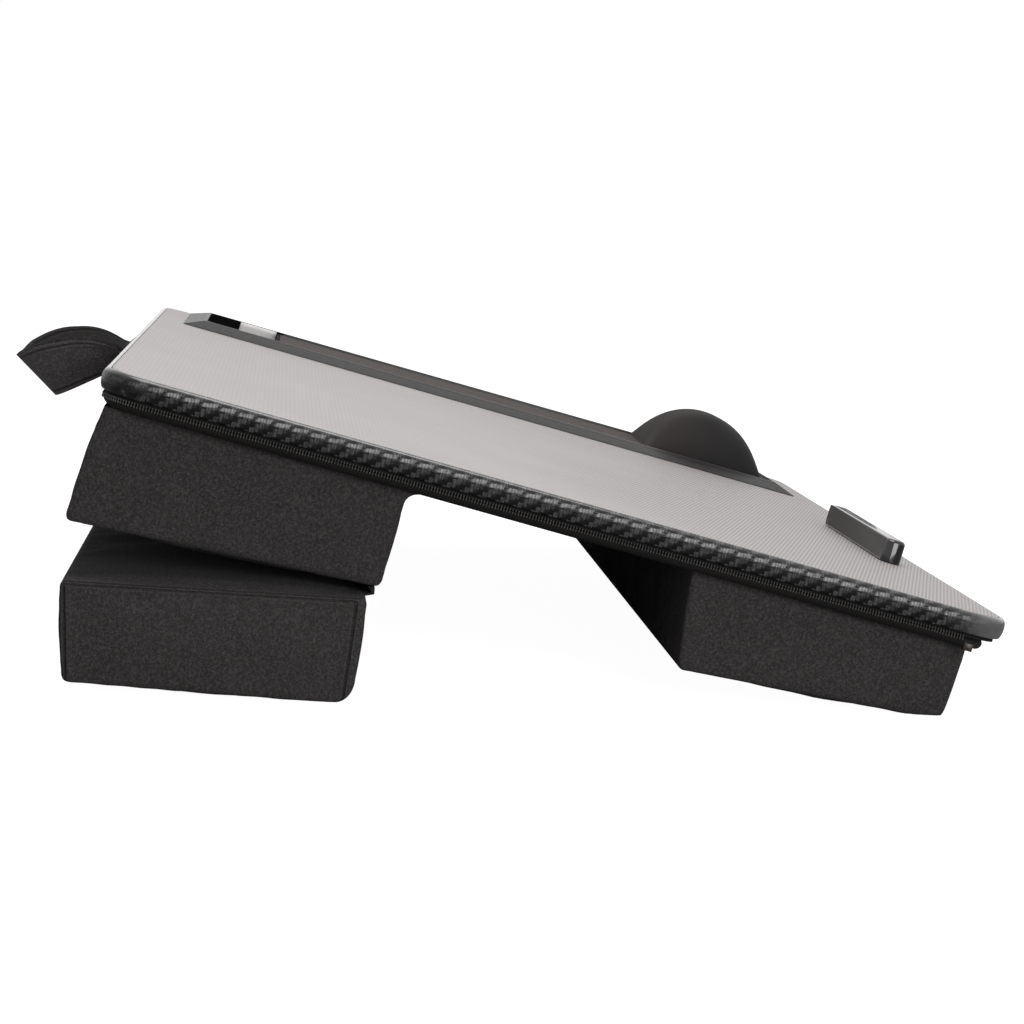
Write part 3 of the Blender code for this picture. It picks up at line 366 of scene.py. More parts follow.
class Finish:
    """A material on a Principled BSDF, with one method that adds any other node."""

    def __init__(self, name, colour, roughness, metallic=0.0, **constants):
        self.material = bpy.data.materials.new(name)
        self.material.use_nodes = True
        self.tree = self.material.node_tree
        self.shader = self.tree.nodes["Principled BSDF"]
        self.shader.inputs["Base Color"].default_value = (*colour, 1.0)
        self.shader.inputs["Roughness"].default_value = roughness
        self.shader.inputs["Metallic"].default_value = metallic
        for key, value in constants.items():
            self.shader.inputs[SOCKETS[key]].default_value = value

    def add(self, kind, settings, inputs, output=0):
        plain = {key: getattr(value, "socket", value) for key, value in inputs.items()}
        return Wire(self, add_node(self.tree, kind, settings, plain)[output])

    def feed(self, **wires):
        """Links the wires to the shader, and gives the finished material."""
        for key, wire in wires.items():
            self.tree.links.new(wire.socket, self.shader.inputs[SOCKETS[key]])
        return self.material

    def object_point(self, place=None):
        """Object coordinates, or those of the frame that place gives."""
        point = self.add("ShaderNodeTexCoord", {}, {}, "Object")
        if place is None:
            return point
        values = {0: point, 1: place.to_translation(), 2: place.to_euler()}
        return self.add("ShaderNodeMapping", {"vector_type": "TEXTURE"}, values)

    def surface_point(self):
        return self.add("ShaderNodeUVMap", {"uv_map": "surface"}, {})

    def attribute(self, name):
        return self.add("ShaderNodeAttribute", {"attribute_name": name}, {}, "Fac")

    def axis(self, point, index):
        return self.add("ShaderNodeSeparateXYZ", {}, {0: point}, index)

    def noise(self, point, scale, detail=2.0, rough=0.5):
        values = {"Vector": point, "Scale": scale, "Detail": detail, "Roughness": rough}
        return self.add("ShaderNodeTexNoise", {}, values)

    def layers(self, colour, base, *tones):
        """A colour with shades of the base laid over it, each by its own factor."""
        for factor, tone in tones:
            colour = self.blend(factor, colour, times(base, tone))
        return colour

    def blend(self, factor, low, high):
        """A colour between two colours."""
        low, high = (c if isinstance(c, Wire) else (*c, 1.0) for c in (low, high))
        return self.add("ShaderNodeMix", {"data_type": "RGBA"}, {0: factor, 6: low, 7: high}, 2)

    def bump(self, height, distance, strength=1.0, normal=None):
        values = {"Height": height, "Distance": distance, "Strength": strength}
        if normal is not None:
            values["Normal"] = normal
        return self.add("ShaderNodeBump", {}, values)


def times(colour, factor):
    return tuple(min(1.0, channel * factor) for channel in colour)


def sheet_finish():
    """Warm grey vinyl with fine skewed ribs and a cross weave, painted lighter on the crowns and
    darker in the valleys as light and shade.
    """
    finish = Finish("Ribbed_vinyl", colours().sheet, 0.5, specular=0.35)
    point = finish.object_point(DESK)
    x, y = finish.axis(point, 0), finish.axis(point, 1)
    pitch = sizes().rib_pitch
    skew = sizes().rib_skew
    slant = (y * math.cos(skew) + x * math.sin(skew)) / pitch
    plain = y / (pitch * 1.24)
    ribs = (slant * math.tau).sine() * 0.5 + 0.5
    cross = (plain * math.tau).sine() * 0.5 + 0.5
    share = (y + finish.noise(point, 9.0) * 0.16).ramp(-0.02, 0.14)
    rib = ribs * (1.0 - share) + cross * share
    weave = (((x / (2.2 * pitch)) + (slant.floor() % 2.0) * 0.5) * math.tau).sine() * 0.5 + 0.5
    height = rib * 0.75 + rib * weave * 0.25
    cloud = finish.noise(point, 14.0, 3.0)
    fleck = finish.noise(point, 900.0, 2.0)
    base = colours().sheet
    # Painted light and shade: the ribs' crowns are lighter and their valleys darker, less so where
    # the cross weave takes over.
    painted_valley_tone = share.ramp(0.0, 1.0, 0.55, 0.93) + (fleck - 0.5) * 0.3
    tone = height.ramp(0.0, 0.9) * (1.0 - painted_valley_tone) + painted_valley_tone
    layers = (tone, 1.1), (cloud.ramp(0.3, 0.7, 0.0, 0.3), 0.9)
    colour = finish.layers((0.0, 0.0, 0.0), base, *layers)
    return finish.feed(
        base_color=colour,
        roughness=fleck * 0.1 + 0.46,
        normal=finish.bump(height + fleck * 0.15, 0.0001, 0.6),
    )


def carbon_finish():
    """Embossed two by two twill in black, flattened where the strip is stretched, with a painted
    highlight along its shoulder, scuffs mixed with painted highlight on the stretched corners and
    painted light on the front corners.
    """
    finish = Finish("Carbon_twill", colours().carbon_low, 0.36, specular=0.22, coat_roughness=0.12)
    point = finish.surface_point()
    object_point = finish.object_point()
    board_point = finish.object_point(DESK)
    side, end = abs(finish.axis(board_point, 0)), abs(finish.axis(board_point, 1))
    stretch = side.ramp(0.250, 0.266) * end.ramp(0.150, 0.172)
    tow = sizes().tow_width
    wobble = (finish.noise(object_point, 240.0, 2.0) - 0.5) * 0.5
    u = finish.axis(point, 0) / tow + wobble
    # v is zero on the row of the painted highlight.
    v = (finish.axis(point, 1) - highlight_run()) / tow + wobble * 0.8
    # Tows that run round the strip's section lie over two rows, then under two.
    share = ((v - u.floor()) % 4.0) * 0.5
    over = (share < 1.0) * share.ramp(0.0, 0.1) * (1.0 - share.ramp(0.9, 1.0))
    crown = (u.fract() * math.pi).sine() ** 0.22
    across = ((u - v.floor()) % 4.0) * 0.5 - 1.0
    under = (v.fract() * math.pi).sine() ** 0.5 * (across * math.pi).sine().ramp(0.0, 0.5)
    fibre_u = (u * (math.tau * 1.5)).sine() * 0.5 + 0.5
    fibre_v = (v * (math.tau * 3.0)).sine() * 0.5 + 0.5
    warp = over * crown * (fibre_u * 0.5 + 0.5)
    weft = (1.0 - over) * under * (fibre_v * 0.2 + 0.4)
    flat = 1.0 - stretch * 0.85
    relief = (warp + weft * 0.45) * flat
    patch = finish.noise(object_point, 70.0, 4.0, 0.65)
    fine = finish.noise(object_point, 620.0, 3.0, 0.7)
    low, high = colours().carbon_low, colours().carbon_high
    speck = fine.ramp(0.3, 0.6, 0.3, 1.0)
    colour = finish.blend(warp * speck * flat + weft * flat * 0.08, low, high)
    # Painted highlight: along the row on the shoulder, the crowns of three tows side by side are
    # painted bright.
    place = (u - v * 0.25 + 1.3) % 4.0
    dash = place.ramp(0.0, 0.3) * (1.0 - place.ramp(3.0, 3.4))
    painted_highlight_row = dash * (1.0 - abs(v - (place - 1.7) * 0.12).ramp(0.25, 0.62)) * (fibre_u * 0.55 + 0.45)
    colour = finish.blend(painted_highlight_row * speck * flat, colour, times(high, 3.6))
    # Scuffs on the stretched corners are part wear and part painted highlight, strongest on the
    # shoulder's highlight row.
    highlight_row_mask = finish.attribute("shoulder")
    front = 1.0 - finish.axis(board_point, 1).ramp(-0.176, -0.150)
    scuff = stretch * patch.ramp(0.5, 0.66) * fine.ramp(0.28, 0.6) * highlight_row_mask.ramp(0.0, 0.6, 0.4, 1.0)
    colour = finish.blend(scuff, colour, times(high, 1.9))
    # Painted light: the stretched front corners are painted lighter, as if lit from the front.
    smooth = stretch * front * patch.ramp(0.2, 0.6, 0.45, 1.0)
    colour = finish.blend(smooth, colour, times(high, 1.3))
    return finish.feed(
        base_color=colour,
        roughness=patch.ramp(0.3, 0.7, 0.26, 0.42),
        coat=finish.axis(board_point, 2).ramp(-0.002, -0.0006),
        normal=finish.bump(relief + fine * 0.12 + patch * stretch * 0.5, 0.0004, 0.9),
    )


def cloth_finish(name="Cushion_cloth", tone=1.0, seams=True):
    """Matte charcoal cloth: soft mottling, a fine nap, and sunk seams where the piece has them,
    with painted shade in their grooves and a painted highlight on their lips.
    """
    base = times(colours().cloth, tone)
    finish = Finish(name, base, 0.95, specular=0.08, sheen=0.02, sheen_roughness=0.6)
    point = finish.object_point()
    cloud = finish.noise(point, 45.0, 4.0, 0.6)
    grain = finish.noise(point, 820.0, 2.0, 0.6)
    nap = finish.noise(point, 1500.0, 1.0)
    layers = (cloud.ramp(0.3, 0.7), 1.06), (grain.ramp(0.4, 0.66), 1.6)
    colour = finish.layers(times(base, 0.9), base, *layers)
    colour = finish.layers(colour, base, (nap.ramp(0.42, 0.66, 0.0, 0.6), 0.4))
    height = grain * 0.6 + nap * 0.4
    if seams:
        away = abs(finish.attribute("seam_gap"))
        groove = away.ramp(0.00015, 0.0009, 1.0, 0.0)
        puff = away.ramp(0.0006, 0.0036, 1.0, 0.0)
        pucker = (finish.noise(point, 240.0, 2.0) - 0.5) * puff
        lip = away.ramp(0.0009, 0.0015, 1.0, 0.0) * (1.0 - groove)
        # Painted shade in the seam's groove and a painted highlight on the lip beside it.
        colour = finish.layers(colour, base, (groove * 0.5, 0.2), (lip * 0.3, 1.8))
        soft = finish.bump(puff * 0.5 - groove + pucker * 1.6, 0.0009, 0.9)
        normal = finish.bump(height, 0.00025, 0.5, soft)
    else:
        normal = finish.bump(height, 0.00025, 0.5)
    return finish.feed(base_color=colour, roughness=grain * 0.1 + 0.88, normal=normal)


def tape_finish():
    """Woven zipper tape: ribs across its run."""
    base = colours().tape
    finish = Finish("Zipper_tape", base, 0.8, specular=0.15)
    u = finish.axis(finish.surface_point(), 0)
    rib = (u / sizes().tooth_pitch * math.tau).sine() * 0.5 + 0.5
    grain = finish.noise(finish.object_point(), 1500.0)
    lit = rib * grain.ramp(0.3, 0.7, 0.4, 1.0)
    return finish.feed(
        base_color=finish.blend(lit, times(base, 0.6), times(base, 1.9)),
        roughness=grain * 0.1 + 0.75,
        normal=finish.bump(rib + grain * 0.4, 0.00016, 0.6),
    )


def moulding_finish():
    """Satin black plastic with a faint peel, small scuffs and a fine groove round its bezel;
    painted shade lies in the groove and along the foot, and a painted highlight along the lip.
    """
    base = colours().moulding
    finish = Finish("Black_moulding", base, 0.4, specular=0.32)
    point = finish.object_point(DESK)
    side = TRAY_HALF[0] - abs(finish.axis(point, 0) - TRAY_MIDDLE[0])
    end = TRAY_HALF[1] - abs(finish.axis(point, 1) - TRAY_MIDDLE[1])
    inside = side.math("MINIMUM", end)
    groove = 1.0 - abs(inside - BEZEL_GROOVE).ramp(0.0001, 0.0005)
    lip = 1.0 - abs(inside - BEZEL_LIP).ramp(0.0001, 0.0005)
    foot = 1.0 - inside.ramp(0.0002, 0.0016)
    peel = finish.noise(point, 160.0, 2.0)
    scuff = finish.noise(point, 1100.0, 4.0, 0.7)
    # Painted shade in the groove and a painted contact shadow along the foot.
    layers = (peel.ramp(0.3, 0.7), 1.5), (groove.math("MAXIMUM", foot) * 0.9, 0.1)
    colour = finish.layers(base, base, *layers)
    # Painted highlight along the lip.
    colour = finish.blend(lip * 0.8, colour, (0.11, 0.1, 0.098))
    return finish.feed(
        base_color=colour,
        roughness=scuff.ramp(0.4, 0.75, 0.34, 0.5),
        normal=finish.bump(peel * 0.2 - groove, 0.0003, 0.5),
    )


def gloss_finish():
    """Polished black plastic with a faint peel."""
    base, low, high = (0.005,) * 3, (0.004,) * 3, (0.008, 0.0078, 0.0078)
    shine = {"specular": 0.45, "coat": 0.3, "coat_roughness": 0.03}
    finish = Finish("Gloss_moulding", base, 0.12, **shine)
    peel = finish.noise(finish.object_point(), 220.0, 2.0)
    return finish.feed(
        base_color=finish.blend(peel.ramp(0.3, 0.7), low, high),
        roughness=peel.ramp(0.3, 0.7, 0.07, 0.14),
        normal=finish.bump(peel, 0.00012, 0.25),
    )


def mat_finish():
    """Brown-grey jersey with a fine knit."""
    base = colours().mat
    finish = Finish("Mat_jersey", base, 0.9, specular=0.15, sheen=0.08, sheen_roughness=0.5)
    point = finish.object_point(DESK)
    x, y = finish.axis(point, 0), finish.axis(point, 1)
    knit = (x * (math.tau / 0.0007)).sine() * (y * (math.tau / 0.0009)).sine()
    cloud = finish.noise(point, 30.0, 3.0)
    grain = finish.noise(point, 1300.0, 2.0)
    layers = (cloud.ramp(0.3, 0.7), 1.12), (grain.ramp(0.35, 0.7, 0.0, 0.5), 1.35)
    colour = finish.layers(times(base, 0.86), base, *layers)
    return finish.feed(
        base_color=colour,
        roughness=grain * 0.1 + 0.78,
        normal=finish.bump(knit * 0.5 + grain, 0.00012, 0.5),
    )


def rest_finish():
    """Smooth dark stretch cloth over the wrist rest, with a warmer, lighter painted sheen on its
    rear flank.
    """
    base = (0.017, 0.016, 0.016)
    finish = Finish("Rest_cloth", base, 0.75, specular=0.12, sheen=0.02, sheen_roughness=0.4)
    point = finish.object_point(DESK)
    grain = finish.noise(point, 1500.0, 2.0)
    cloud = finish.noise(point, 25.0, 2.0)
    # Painted sheen: the rear flank is warmer and lighter.
    painted_rear_sheen = finish.axis(point, 1).ramp(-0.128, -0.085)
    colour = finish.blend(painted_rear_sheen, base, (0.03, 0.0245, 0.0225))
    colour = finish.blend(grain.ramp(0.35, 0.7, 0.0, 0.35), colour, times(base, 1.5))
    return finish.feed(
        base_color=colour,
        roughness=cloud.ramp(0.3, 0.7, 0.66, 0.78),
        normal=finish.bump(grain, 0.0001, 0.4),
    )


def grip_finish():
    """Matte grey rubber pad with a fine tooth, darker towards its far end as painted shade."""
    base = colours().grip
    finish = Finish("Grip_pad", base, 0.6, specular=0.25)
    point = finish.object_point(DESK)
    grain = finish.noise(point, 1800.0, 2.0)
    cloud = finish.noise(point, 40.0)
    # Painted shade: the pad darkens towards its far end.
    far = finish.axis(point, 0).ramp(-0.14, -0.02)
    colour = finish.blend(cloud.ramp(0.3, 0.7), times(base, 0.85), times(base, 1.1))
    return finish.feed(
        base_color=finish.blend(far, colour, times(base, 0.45)),
        roughness=grain * 0.2 + 0.5,
        normal=finish.bump(grain, 0.00008, 0.4),
    )


def grained(finish, grain, tones, rough, relief, edges=(0.3, 0.7)):
    """Feeds a finish from one grain: its two colours, its roughness and its relief.

    rough is the grain's share of the roughness and what is added to it.
    """
    wave = finish.noise(finish.object_point(), *grain)
    return finish.feed(
        base_color=finish.blend(wave.ramp(*edges), *tones),
        roughness=wave * rough[0] + rough[1],
        normal=finish.bump(wave, *relief),
    )


def coil_finish():
    """Nylon coil: smooth turns with a dull shine."""
    base = colours().coil
    finish = Finish("Zipper_coil", base, 0.45, specular=0.35)
    tones = times(base, 0.7), times(base, 1.3)
    return grained(finish, (700.0, 2.0), tones, (0.2, 0.32), (0.00008, 0.4))


def metal_finish():
    """Dark bronze enamel, with wear in places, on the zipper's hardware."""
    tones = (0.03, 0.024, 0.02), (0.14, 0.105, 0.08)
    finish = Finish("Bronze_enamel", tones[0], 0.36, 0.2, specular=0.4)
    grain, relief = (900.0, 4.0, 0.7), (0.00006, 0.4)
    return grained(finish, grain, tones, (0.3, 0.22), relief, (0.52, 0.78))


def plain_finish(name, colour, roughness, scale, depth=0.0001, spread=0.2, **constants):
    """A maker of a plain surface with a grain: lining, foam, board, label or screw."""

    def make():
        finish = Finish(name, colour, roughness, **constants)
        tones = times(colour, 1 - spread), times(colour, 1 + spread)
        rough = 0.1, roughness - 0.05
        return grained(finish, (scale, 4.0, 0.6), tones, rough, (depth, 0.5))

    return make


MAKERS = {
    "sheet": sheet_finish,
    "carbon": carbon_finish,
    "cloth": cloth_finish,
    # The strap's up-facing faces take a darker copy of the cloth and its down-facing faces a much
    # lighter one, as painted shade and light.
    "strap": lambda: cloth_finish("Strap_painted_shade_side", 0.6),
    "strap_painted_lit_side": lambda: cloth_finish("Strap_painted_lit_side", 3.2),
    "base_cloth": lambda: cloth_finish("Base_cloth", 0.55, False),
    "tape": tape_finish,
    "coil": coil_finish,
    "moulding": moulding_finish,
    "gloss": gloss_finish,
    # The pocket's faces and the divider get a near-black, barely reflecting finish as painted
    # shade.
    "divider": plain_finish("Pocket_painted_shade", (0.006,) * 3, 0.7, 500.0, specular=0.03),
    "mat": mat_finish,
    "rest": rest_finish,
    "grip": grip_finish,
    "metal": metal_finish,
    "lining": plain_finish("Lining_cloth", (0.018, 0.018, 0.019), 0.85, 900.0),
    "foam": plain_finish("Foam", (0.16, 0.16, 0.17), 0.95, 600.0, 0.0004),
    "board": plain_finish("Fibreboard", (0.42, 0.31, 0.2), 0.8, 260.0),
    "sticker": plain_finish("Blank_sticker", (0.86, 0.83, 0.825), 0.45, 300.0, 0.00002, 0.03),
    "screw": plain_finish(
        "Zinc_plate", (0.45, 0.45, 0.46), 0.35, 900.0, 0.00003, 0.1, metallic=1.0
    ),
}
FINISHES = {}


def finish_of(name):
    """The named finish, made once."""
    if name not in FINISHES:
        FINISHES[name] = MAKERS[name]()
    return FINISHES[name]


# Making pieces.

HERE = Matrix.Identity(4)


def dress(node, finish):
    """Gives a CAD node its finish."""
    for slot in frame["nodes"][node].material_slots:
        slot.material = finish_of(finish)


def new_object(name, data):
    made = bpy.data.objects.new(name, data)
    bpy.context.scene.collection.objects.link(made)
    return made


def new_piece(name, mesh, finish, place=DESK):
    """An object at the origin, its place in its mesh."""
    mesh.transform(place)
    mesh.update()
    mesh.materials.clear()
    mesh.materials.append(finish_of(finish))
    return new_object(name, mesh)


def modify(piece, name, kind, **settings):
    modifier = piece.modifiers.new(name, kind)
    for key, value in settings.items():
        setattr(modifier, key, value)


def vectors(items, key):
    """One row of three numbers for each item."""
    found = np.empty(len(items) * 3)
    items.foreach_get(key, found)
    return found.reshape(-1, 3)


def smooth_mesh(name, bm):
    mesh = bpy.data.meshes.new(name)
    bm.to_mesh(mesh)
    bm.free()
    mesh.shade_smooth()
    return mesh


def mesh_from(name, bm, angle=math.radians(40)):
    """A mesh with its faces outwards, shaded smooth past the given angle."""
    bmesh.ops.recalc_face_normals(bm, faces=bm.faces)
    mesh = smooth_mesh(name, bm)
    mesh.set_sharp_from_angle(angle=angle)
    return mesh


def strips(bm, rows):
    """Fills the faces between each row of points and the next."""
    for row, following in zip(rows, rows[1:]):
        for corners in zip(row, row[1:], following[1:], following):
            bm.faces.new(corners)


def hand_over(piece, body, slot, *nodes):
    """The piece rides on its body and stands for the CAD nodes that it replaces."""
    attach(piece, body)
    if nodes:
        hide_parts(*nodes)


def baked(obj):
    """The object's evaluated mesh, with the object removed."""
    bpy.context.view_layer.update()
    graph = bpy.context.evaluated_depsgraph_get()
    mesh = bpy.data.meshes.new_from_object(obj.evaluated_get(graph))
    bpy.data.objects.remove(obj)
    return mesh


def reshape(piece, move):
    """Moves a piece's points by a function that gives each one its new place on the desk."""
    inverse = DESK.inverted()
    for vert in piece.data.vertices:
        vert.co = DESK @ Vector(move(inverse @ vert.co))


def respan(value, solid, drawn):
    """A value taken from the solid's span to the drawn one."""
    return drawn[0] + (value - solid[0]) / solid[1] * drawn[1]


def eased_copy(node, name, finish, body, slot, radius, segments=2):
    """A CAD solid with its flat faces rejoined and its edges rounded."""
    bm = bmesh.new()
    bm.from_mesh(frame["nodes"][node].data)
    bmesh.ops.remove_doubles(bm, verts=bm.verts, dist=0.000005)
    bmesh.ops.dissolve_limit(bm, angle_limit=math.radians(0.6), verts=bm.verts, edges=bm.edges)
    mesh = mesh_from(name, bm)
    piece = new_piece(name, mesh, finish, HERE)
    limit = {"limit_method": "ANGLE", "angle_limit": math.radians(28)}
    size = {"width": radius, "segments": segments, "use_clamp_overlap": True}
    modify(piece, "edges", "BEVEL", harden_normals=True, **size, **limit)
    piece = new_piece(name, baked(piece), finish, HERE)
    hand_over(piece, body, slot, node)
    return piece


# Runs along the board's edge.


def edge_points(offset, closed, steps=14, spacing=EDGE_SPACING):
    """Points (x, y, run) along the edge: all round, or the zipper's three sides.

    run is the length along the board's edge, the same for every offset.
    """
    radius = CORNER + offset
    outer_x, outer_y = HALF_X - CORNER, HALF_Y - CORNER
    turns = [(-1, 1, 180), (1, 1, 90), (1, -1, 0), (-1, -1, 270)]
    start = (-(HALF_X + offset), -outer_y if closed else ZIP_END)
    points = [(*start, 0.0)]

    def straight(goal, last):
        x, y, run = points[-1]
        length = math.dist((x, y), goal)
        count = max(1, round(length / spacing))
        for step in range(1, count + last):
            share = step / count
            way = x + (goal[0] - x) * share, y + (goal[1] - y) * share
            points.append((*way, run + length * share))

    for side_x, side_y, begin in turns if closed else turns[:2]:
        middle = (side_x * outer_x, side_y * outer_y)
        first = math.radians(begin)
        straight((middle[0] + radius * math.cos(first), middle[1] + radius * math.sin(first)), 1)
        run = points[-1][2]
        for step in range(1, steps + 1):
            angle = first - math.pi / 2 * step / steps
            x = middle[0] + radius * math.cos(angle)
            y = middle[1] + radius * math.sin(angle)
            points.append((x, y, run + math.pi / 2 * CORNER * step / steps))
    if closed:
        straight(start, 0)
    else:
        straight((HALF_X + offset, ZIP_END), 1)
    return points


def swept_mesh(name, section, closed):
    """A closed section swept along the edge, with lengths in metres as its surface map."""
    bm = bmesh.new()
    layer = bm.loops.layers.uv.new("surface")
    highlight_layer = bm.verts.layers.float.new("shoulder")
    lines = [edge_points(offset, closed) for offset, _ in section]
    around = [0.0]
    for (o1, z1), (o2, z2) in zip(section, section[1:] + section[:1]):
        around.append(around[-1] + math.hypot(o2 - o1, z2 - z1))
    rows = []
    for line, (_, z) in zip(lines, section):
        row = []
        for x, y, _ in line:
            vert = bm.verts.new((x, y, z))
            # The shoulder attribute marks the row where the carbon strip's highlight is painted.
            vert[highlight_layer] = max(0.0, 1.0 - abs(z - HIGHLIGHT_HEIGHT) / HIGHLIGHT_REACH)
            row.append(vert)
        rows.append(row)
    count = len(lines[0])
    total = lines[0][-1][2] + EDGE_SPACING
    for index, row in enumerate(rows):
        following = rows[(index + 1) % len(rows)]
        for step in range(count if closed else count - 1):
            after = (step + 1) % count
            face = bm.faces.new((row[step], row[after], following[after], following[step]))
            run = lines[0][step][2]
            run_after = lines[0][after][2] if after else total
            map_points = (
                (run, around[index]),
                (run_after, around[index]),
                (run_after, around[index + 1]),
                (run, around[index + 1]),
            )
            for loop, point in zip(face.loops, map_points):
                loop[layer].uv = point
    if not closed:
        bm.faces.new([row[0] for row in rows])
        bm.faces.new([row[-1] for row in rows])
    return mesh_from(name, bm)


def band_section():
    """The bullnose strip: a rolled shoulder, a soft belly and a turned-in foot."""
    section = [(GAP * 0.6, -0.0007), (GAP * 1.4, -0.00015)]
    for step in range(1, 17):
        angle = math.pi / 2 * step / 16
        out = GAP + (BAND_OUT - GAP) * math.sin(angle) ** 0.85
        section.append((out, -CURVE_DROP * (1 - math.cos(angle))))
    for step in range(1, 9):
        angle = math.pi / 2 * step / 8
        out = BAND_OUT - FOOT_DRAW * (1 - math.cos(angle))
        section.append((out, -CURVE_DROP + (BAND_BOTTOM + CURVE_DROP) * math.sin(angle)))
    section.append((GAP, BAND_BOTTOM))
    return section


def highlight_run():
    """The length round the section from its first point to the row of the painted highlight."""
    run = 0.0
    section = band_section()
    for (o1, z1), (o2, z2) in zip(section, section[1:]):
        if z2 < HIGHLIGHT_HEIGHT and o2 > BAND_OUT / 2:
            return run
        run += math.hypot(o2 - o1, z2 - z1)
    raise RuntimeError("the section has no shoulder")


class BoardFinish(bpy.types.Operator):
    """Finish the sheet, lining and core, and sweep the carbon strip round the edge"""

    bl_idname = "lap_desk.board"
    bl_label = "Board and edge"

    def execute(self, context):
        dress("top_cover", "sheet")
        dress("board_core", "board")
        dress("board_lining", "lining")
        dress("base_panel", "base_cloth")
        for node in ("stop_screw_left", "stop_screw_right"):
            dress(node, "screw")
        mesh = swept_mesh("edge_strip", band_section(), True)
        strip = new_piece("edge_strip", mesh, "carbon")
        hand_over(strip, "board", "carbon_black", "edge_band")
        return {"FINISHED"}


# Geometry Nodes.


def repeat_tree(name):
    """Small rounded bars set along a path at a pitch, each turned to the path."""
    tree = bpy.data.node_groups.new(name, "GeometryNodeTree")
    tree.interface.new_socket("Geometry", in_out="INPUT", socket_type="NodeSocketGeometry")
    for key in ("Pitch", "Along", "Out", "Tall", "Lean"):
        tree.interface.new_socket(key, in_out="INPUT", socket_type="NodeSocketFloat")
    tree.interface.new_socket("Finish", in_out="INPUT", socket_type="NodeSocketMaterial")
    tree.interface.new_socket("Geometry", in_out="OUTPUT", socket_type="NodeSocketGeometry")

    def add(kind, inputs, **settings):
        return add_node(tree, kind, settings, inputs)

    given = add("NodeGroupInput", {})
    path = add("GeometryNodeMeshToCurve", {"Mesh": given["Geometry"]})
    spaced = {"Curve": path[0], "Length": given["Pitch"]}
    points = add("GeometryNodeResampleCurve", spaced, mode="LENGTH")
    tangent = add("GeometryNodeInputTangent", {})
    turned = add("FunctionNodeAlignRotationToVector", {"Vector": tangent[0]}, axis="X")
    lean = add("ShaderNodeCombineXYZ", {"Y": given["Lean"]})
    leaned = add("FunctionNodeEulerToRotation", {0: lean[0]})
    both = {0: turned[0], 1: leaned[0]}
    rotated = add("FunctionNodeRotateRotation", both, rotation_space="LOCAL")
    bar = add("GeometryNodeMeshUVSphere", {"Segments": 8, "Rings": 5, "Radius": 0.5})
    lengths = {"X": given["Along"], "Y": given["Out"], "Z": given["Tall"]}
    size = add("ShaderNodeCombineXYZ", lengths)
    place = {"Points": points[0], "Instance": bar[0], "Rotation": rotated[0], "Scale": size[0]}
    placed = add("GeometryNodeInstanceOnPoints", place)
    real = add("GeometryNodeRealizeInstances", {0: placed[0]})
    soft = add("GeometryNodeSetShadeSmooth", {0: real[0]})
    painted = add("GeometryNodeSetMaterial", {"Geometry": soft[0], "Material": given["Finish"]})
    add("NodeGroupOutput", {0: painted[0]})
    return tree


def run_tree(name, points, tree, values):
    """The tree's result on a path of points, as a plain mesh."""
    mesh = bpy.data.meshes.new(name)
    mesh.from_pydata(points, [(i, i + 1) for i in range(len(points) - 1)], [])
    path = new_object(name, mesh)
    modifier = path.modifiers.new("repeat", "NODES")
    modifier.node_group = tree
    for item in tree.interface.items_tree:
        if item.item_type == "SOCKET" and item.in_out == "INPUT" and item.name in values:
            modifier[item.identifier] = values[item.name]
    return baked(path)


# Sections of the zipper's two tapes, as (offset from the board's edge, height).
UPPER_TAPE = [
    (-0.0012, BAND_BOTTOM - GAP * 0.6),
    (-0.0004, BAND_BOTTOM - GAP * 0.6),
    (0.0001, BAND_BOTTOM - 0.0008),
    (0.0001, PARTING + 0.0003),
    (-0.0012, PARTING + 0.0003),
]
LOWER_TAPE = [
    (-0.0012, PARTING - 0.0003),
    (0.0001, PARTING - 0.0003),
    (0.0002, PARTING - 0.0013),
    (-0.0002, PARTING - 0.0022),
    (-0.0012, PARTING - 0.0031),
    (-0.0028, BASE_BOTTOM),
    (-0.0080, BASE_BOTTOM),
    (-0.0080, BASE_BOTTOM + 0.0008),
    (-0.0030, BASE_BOTTOM + 0.0009),
]


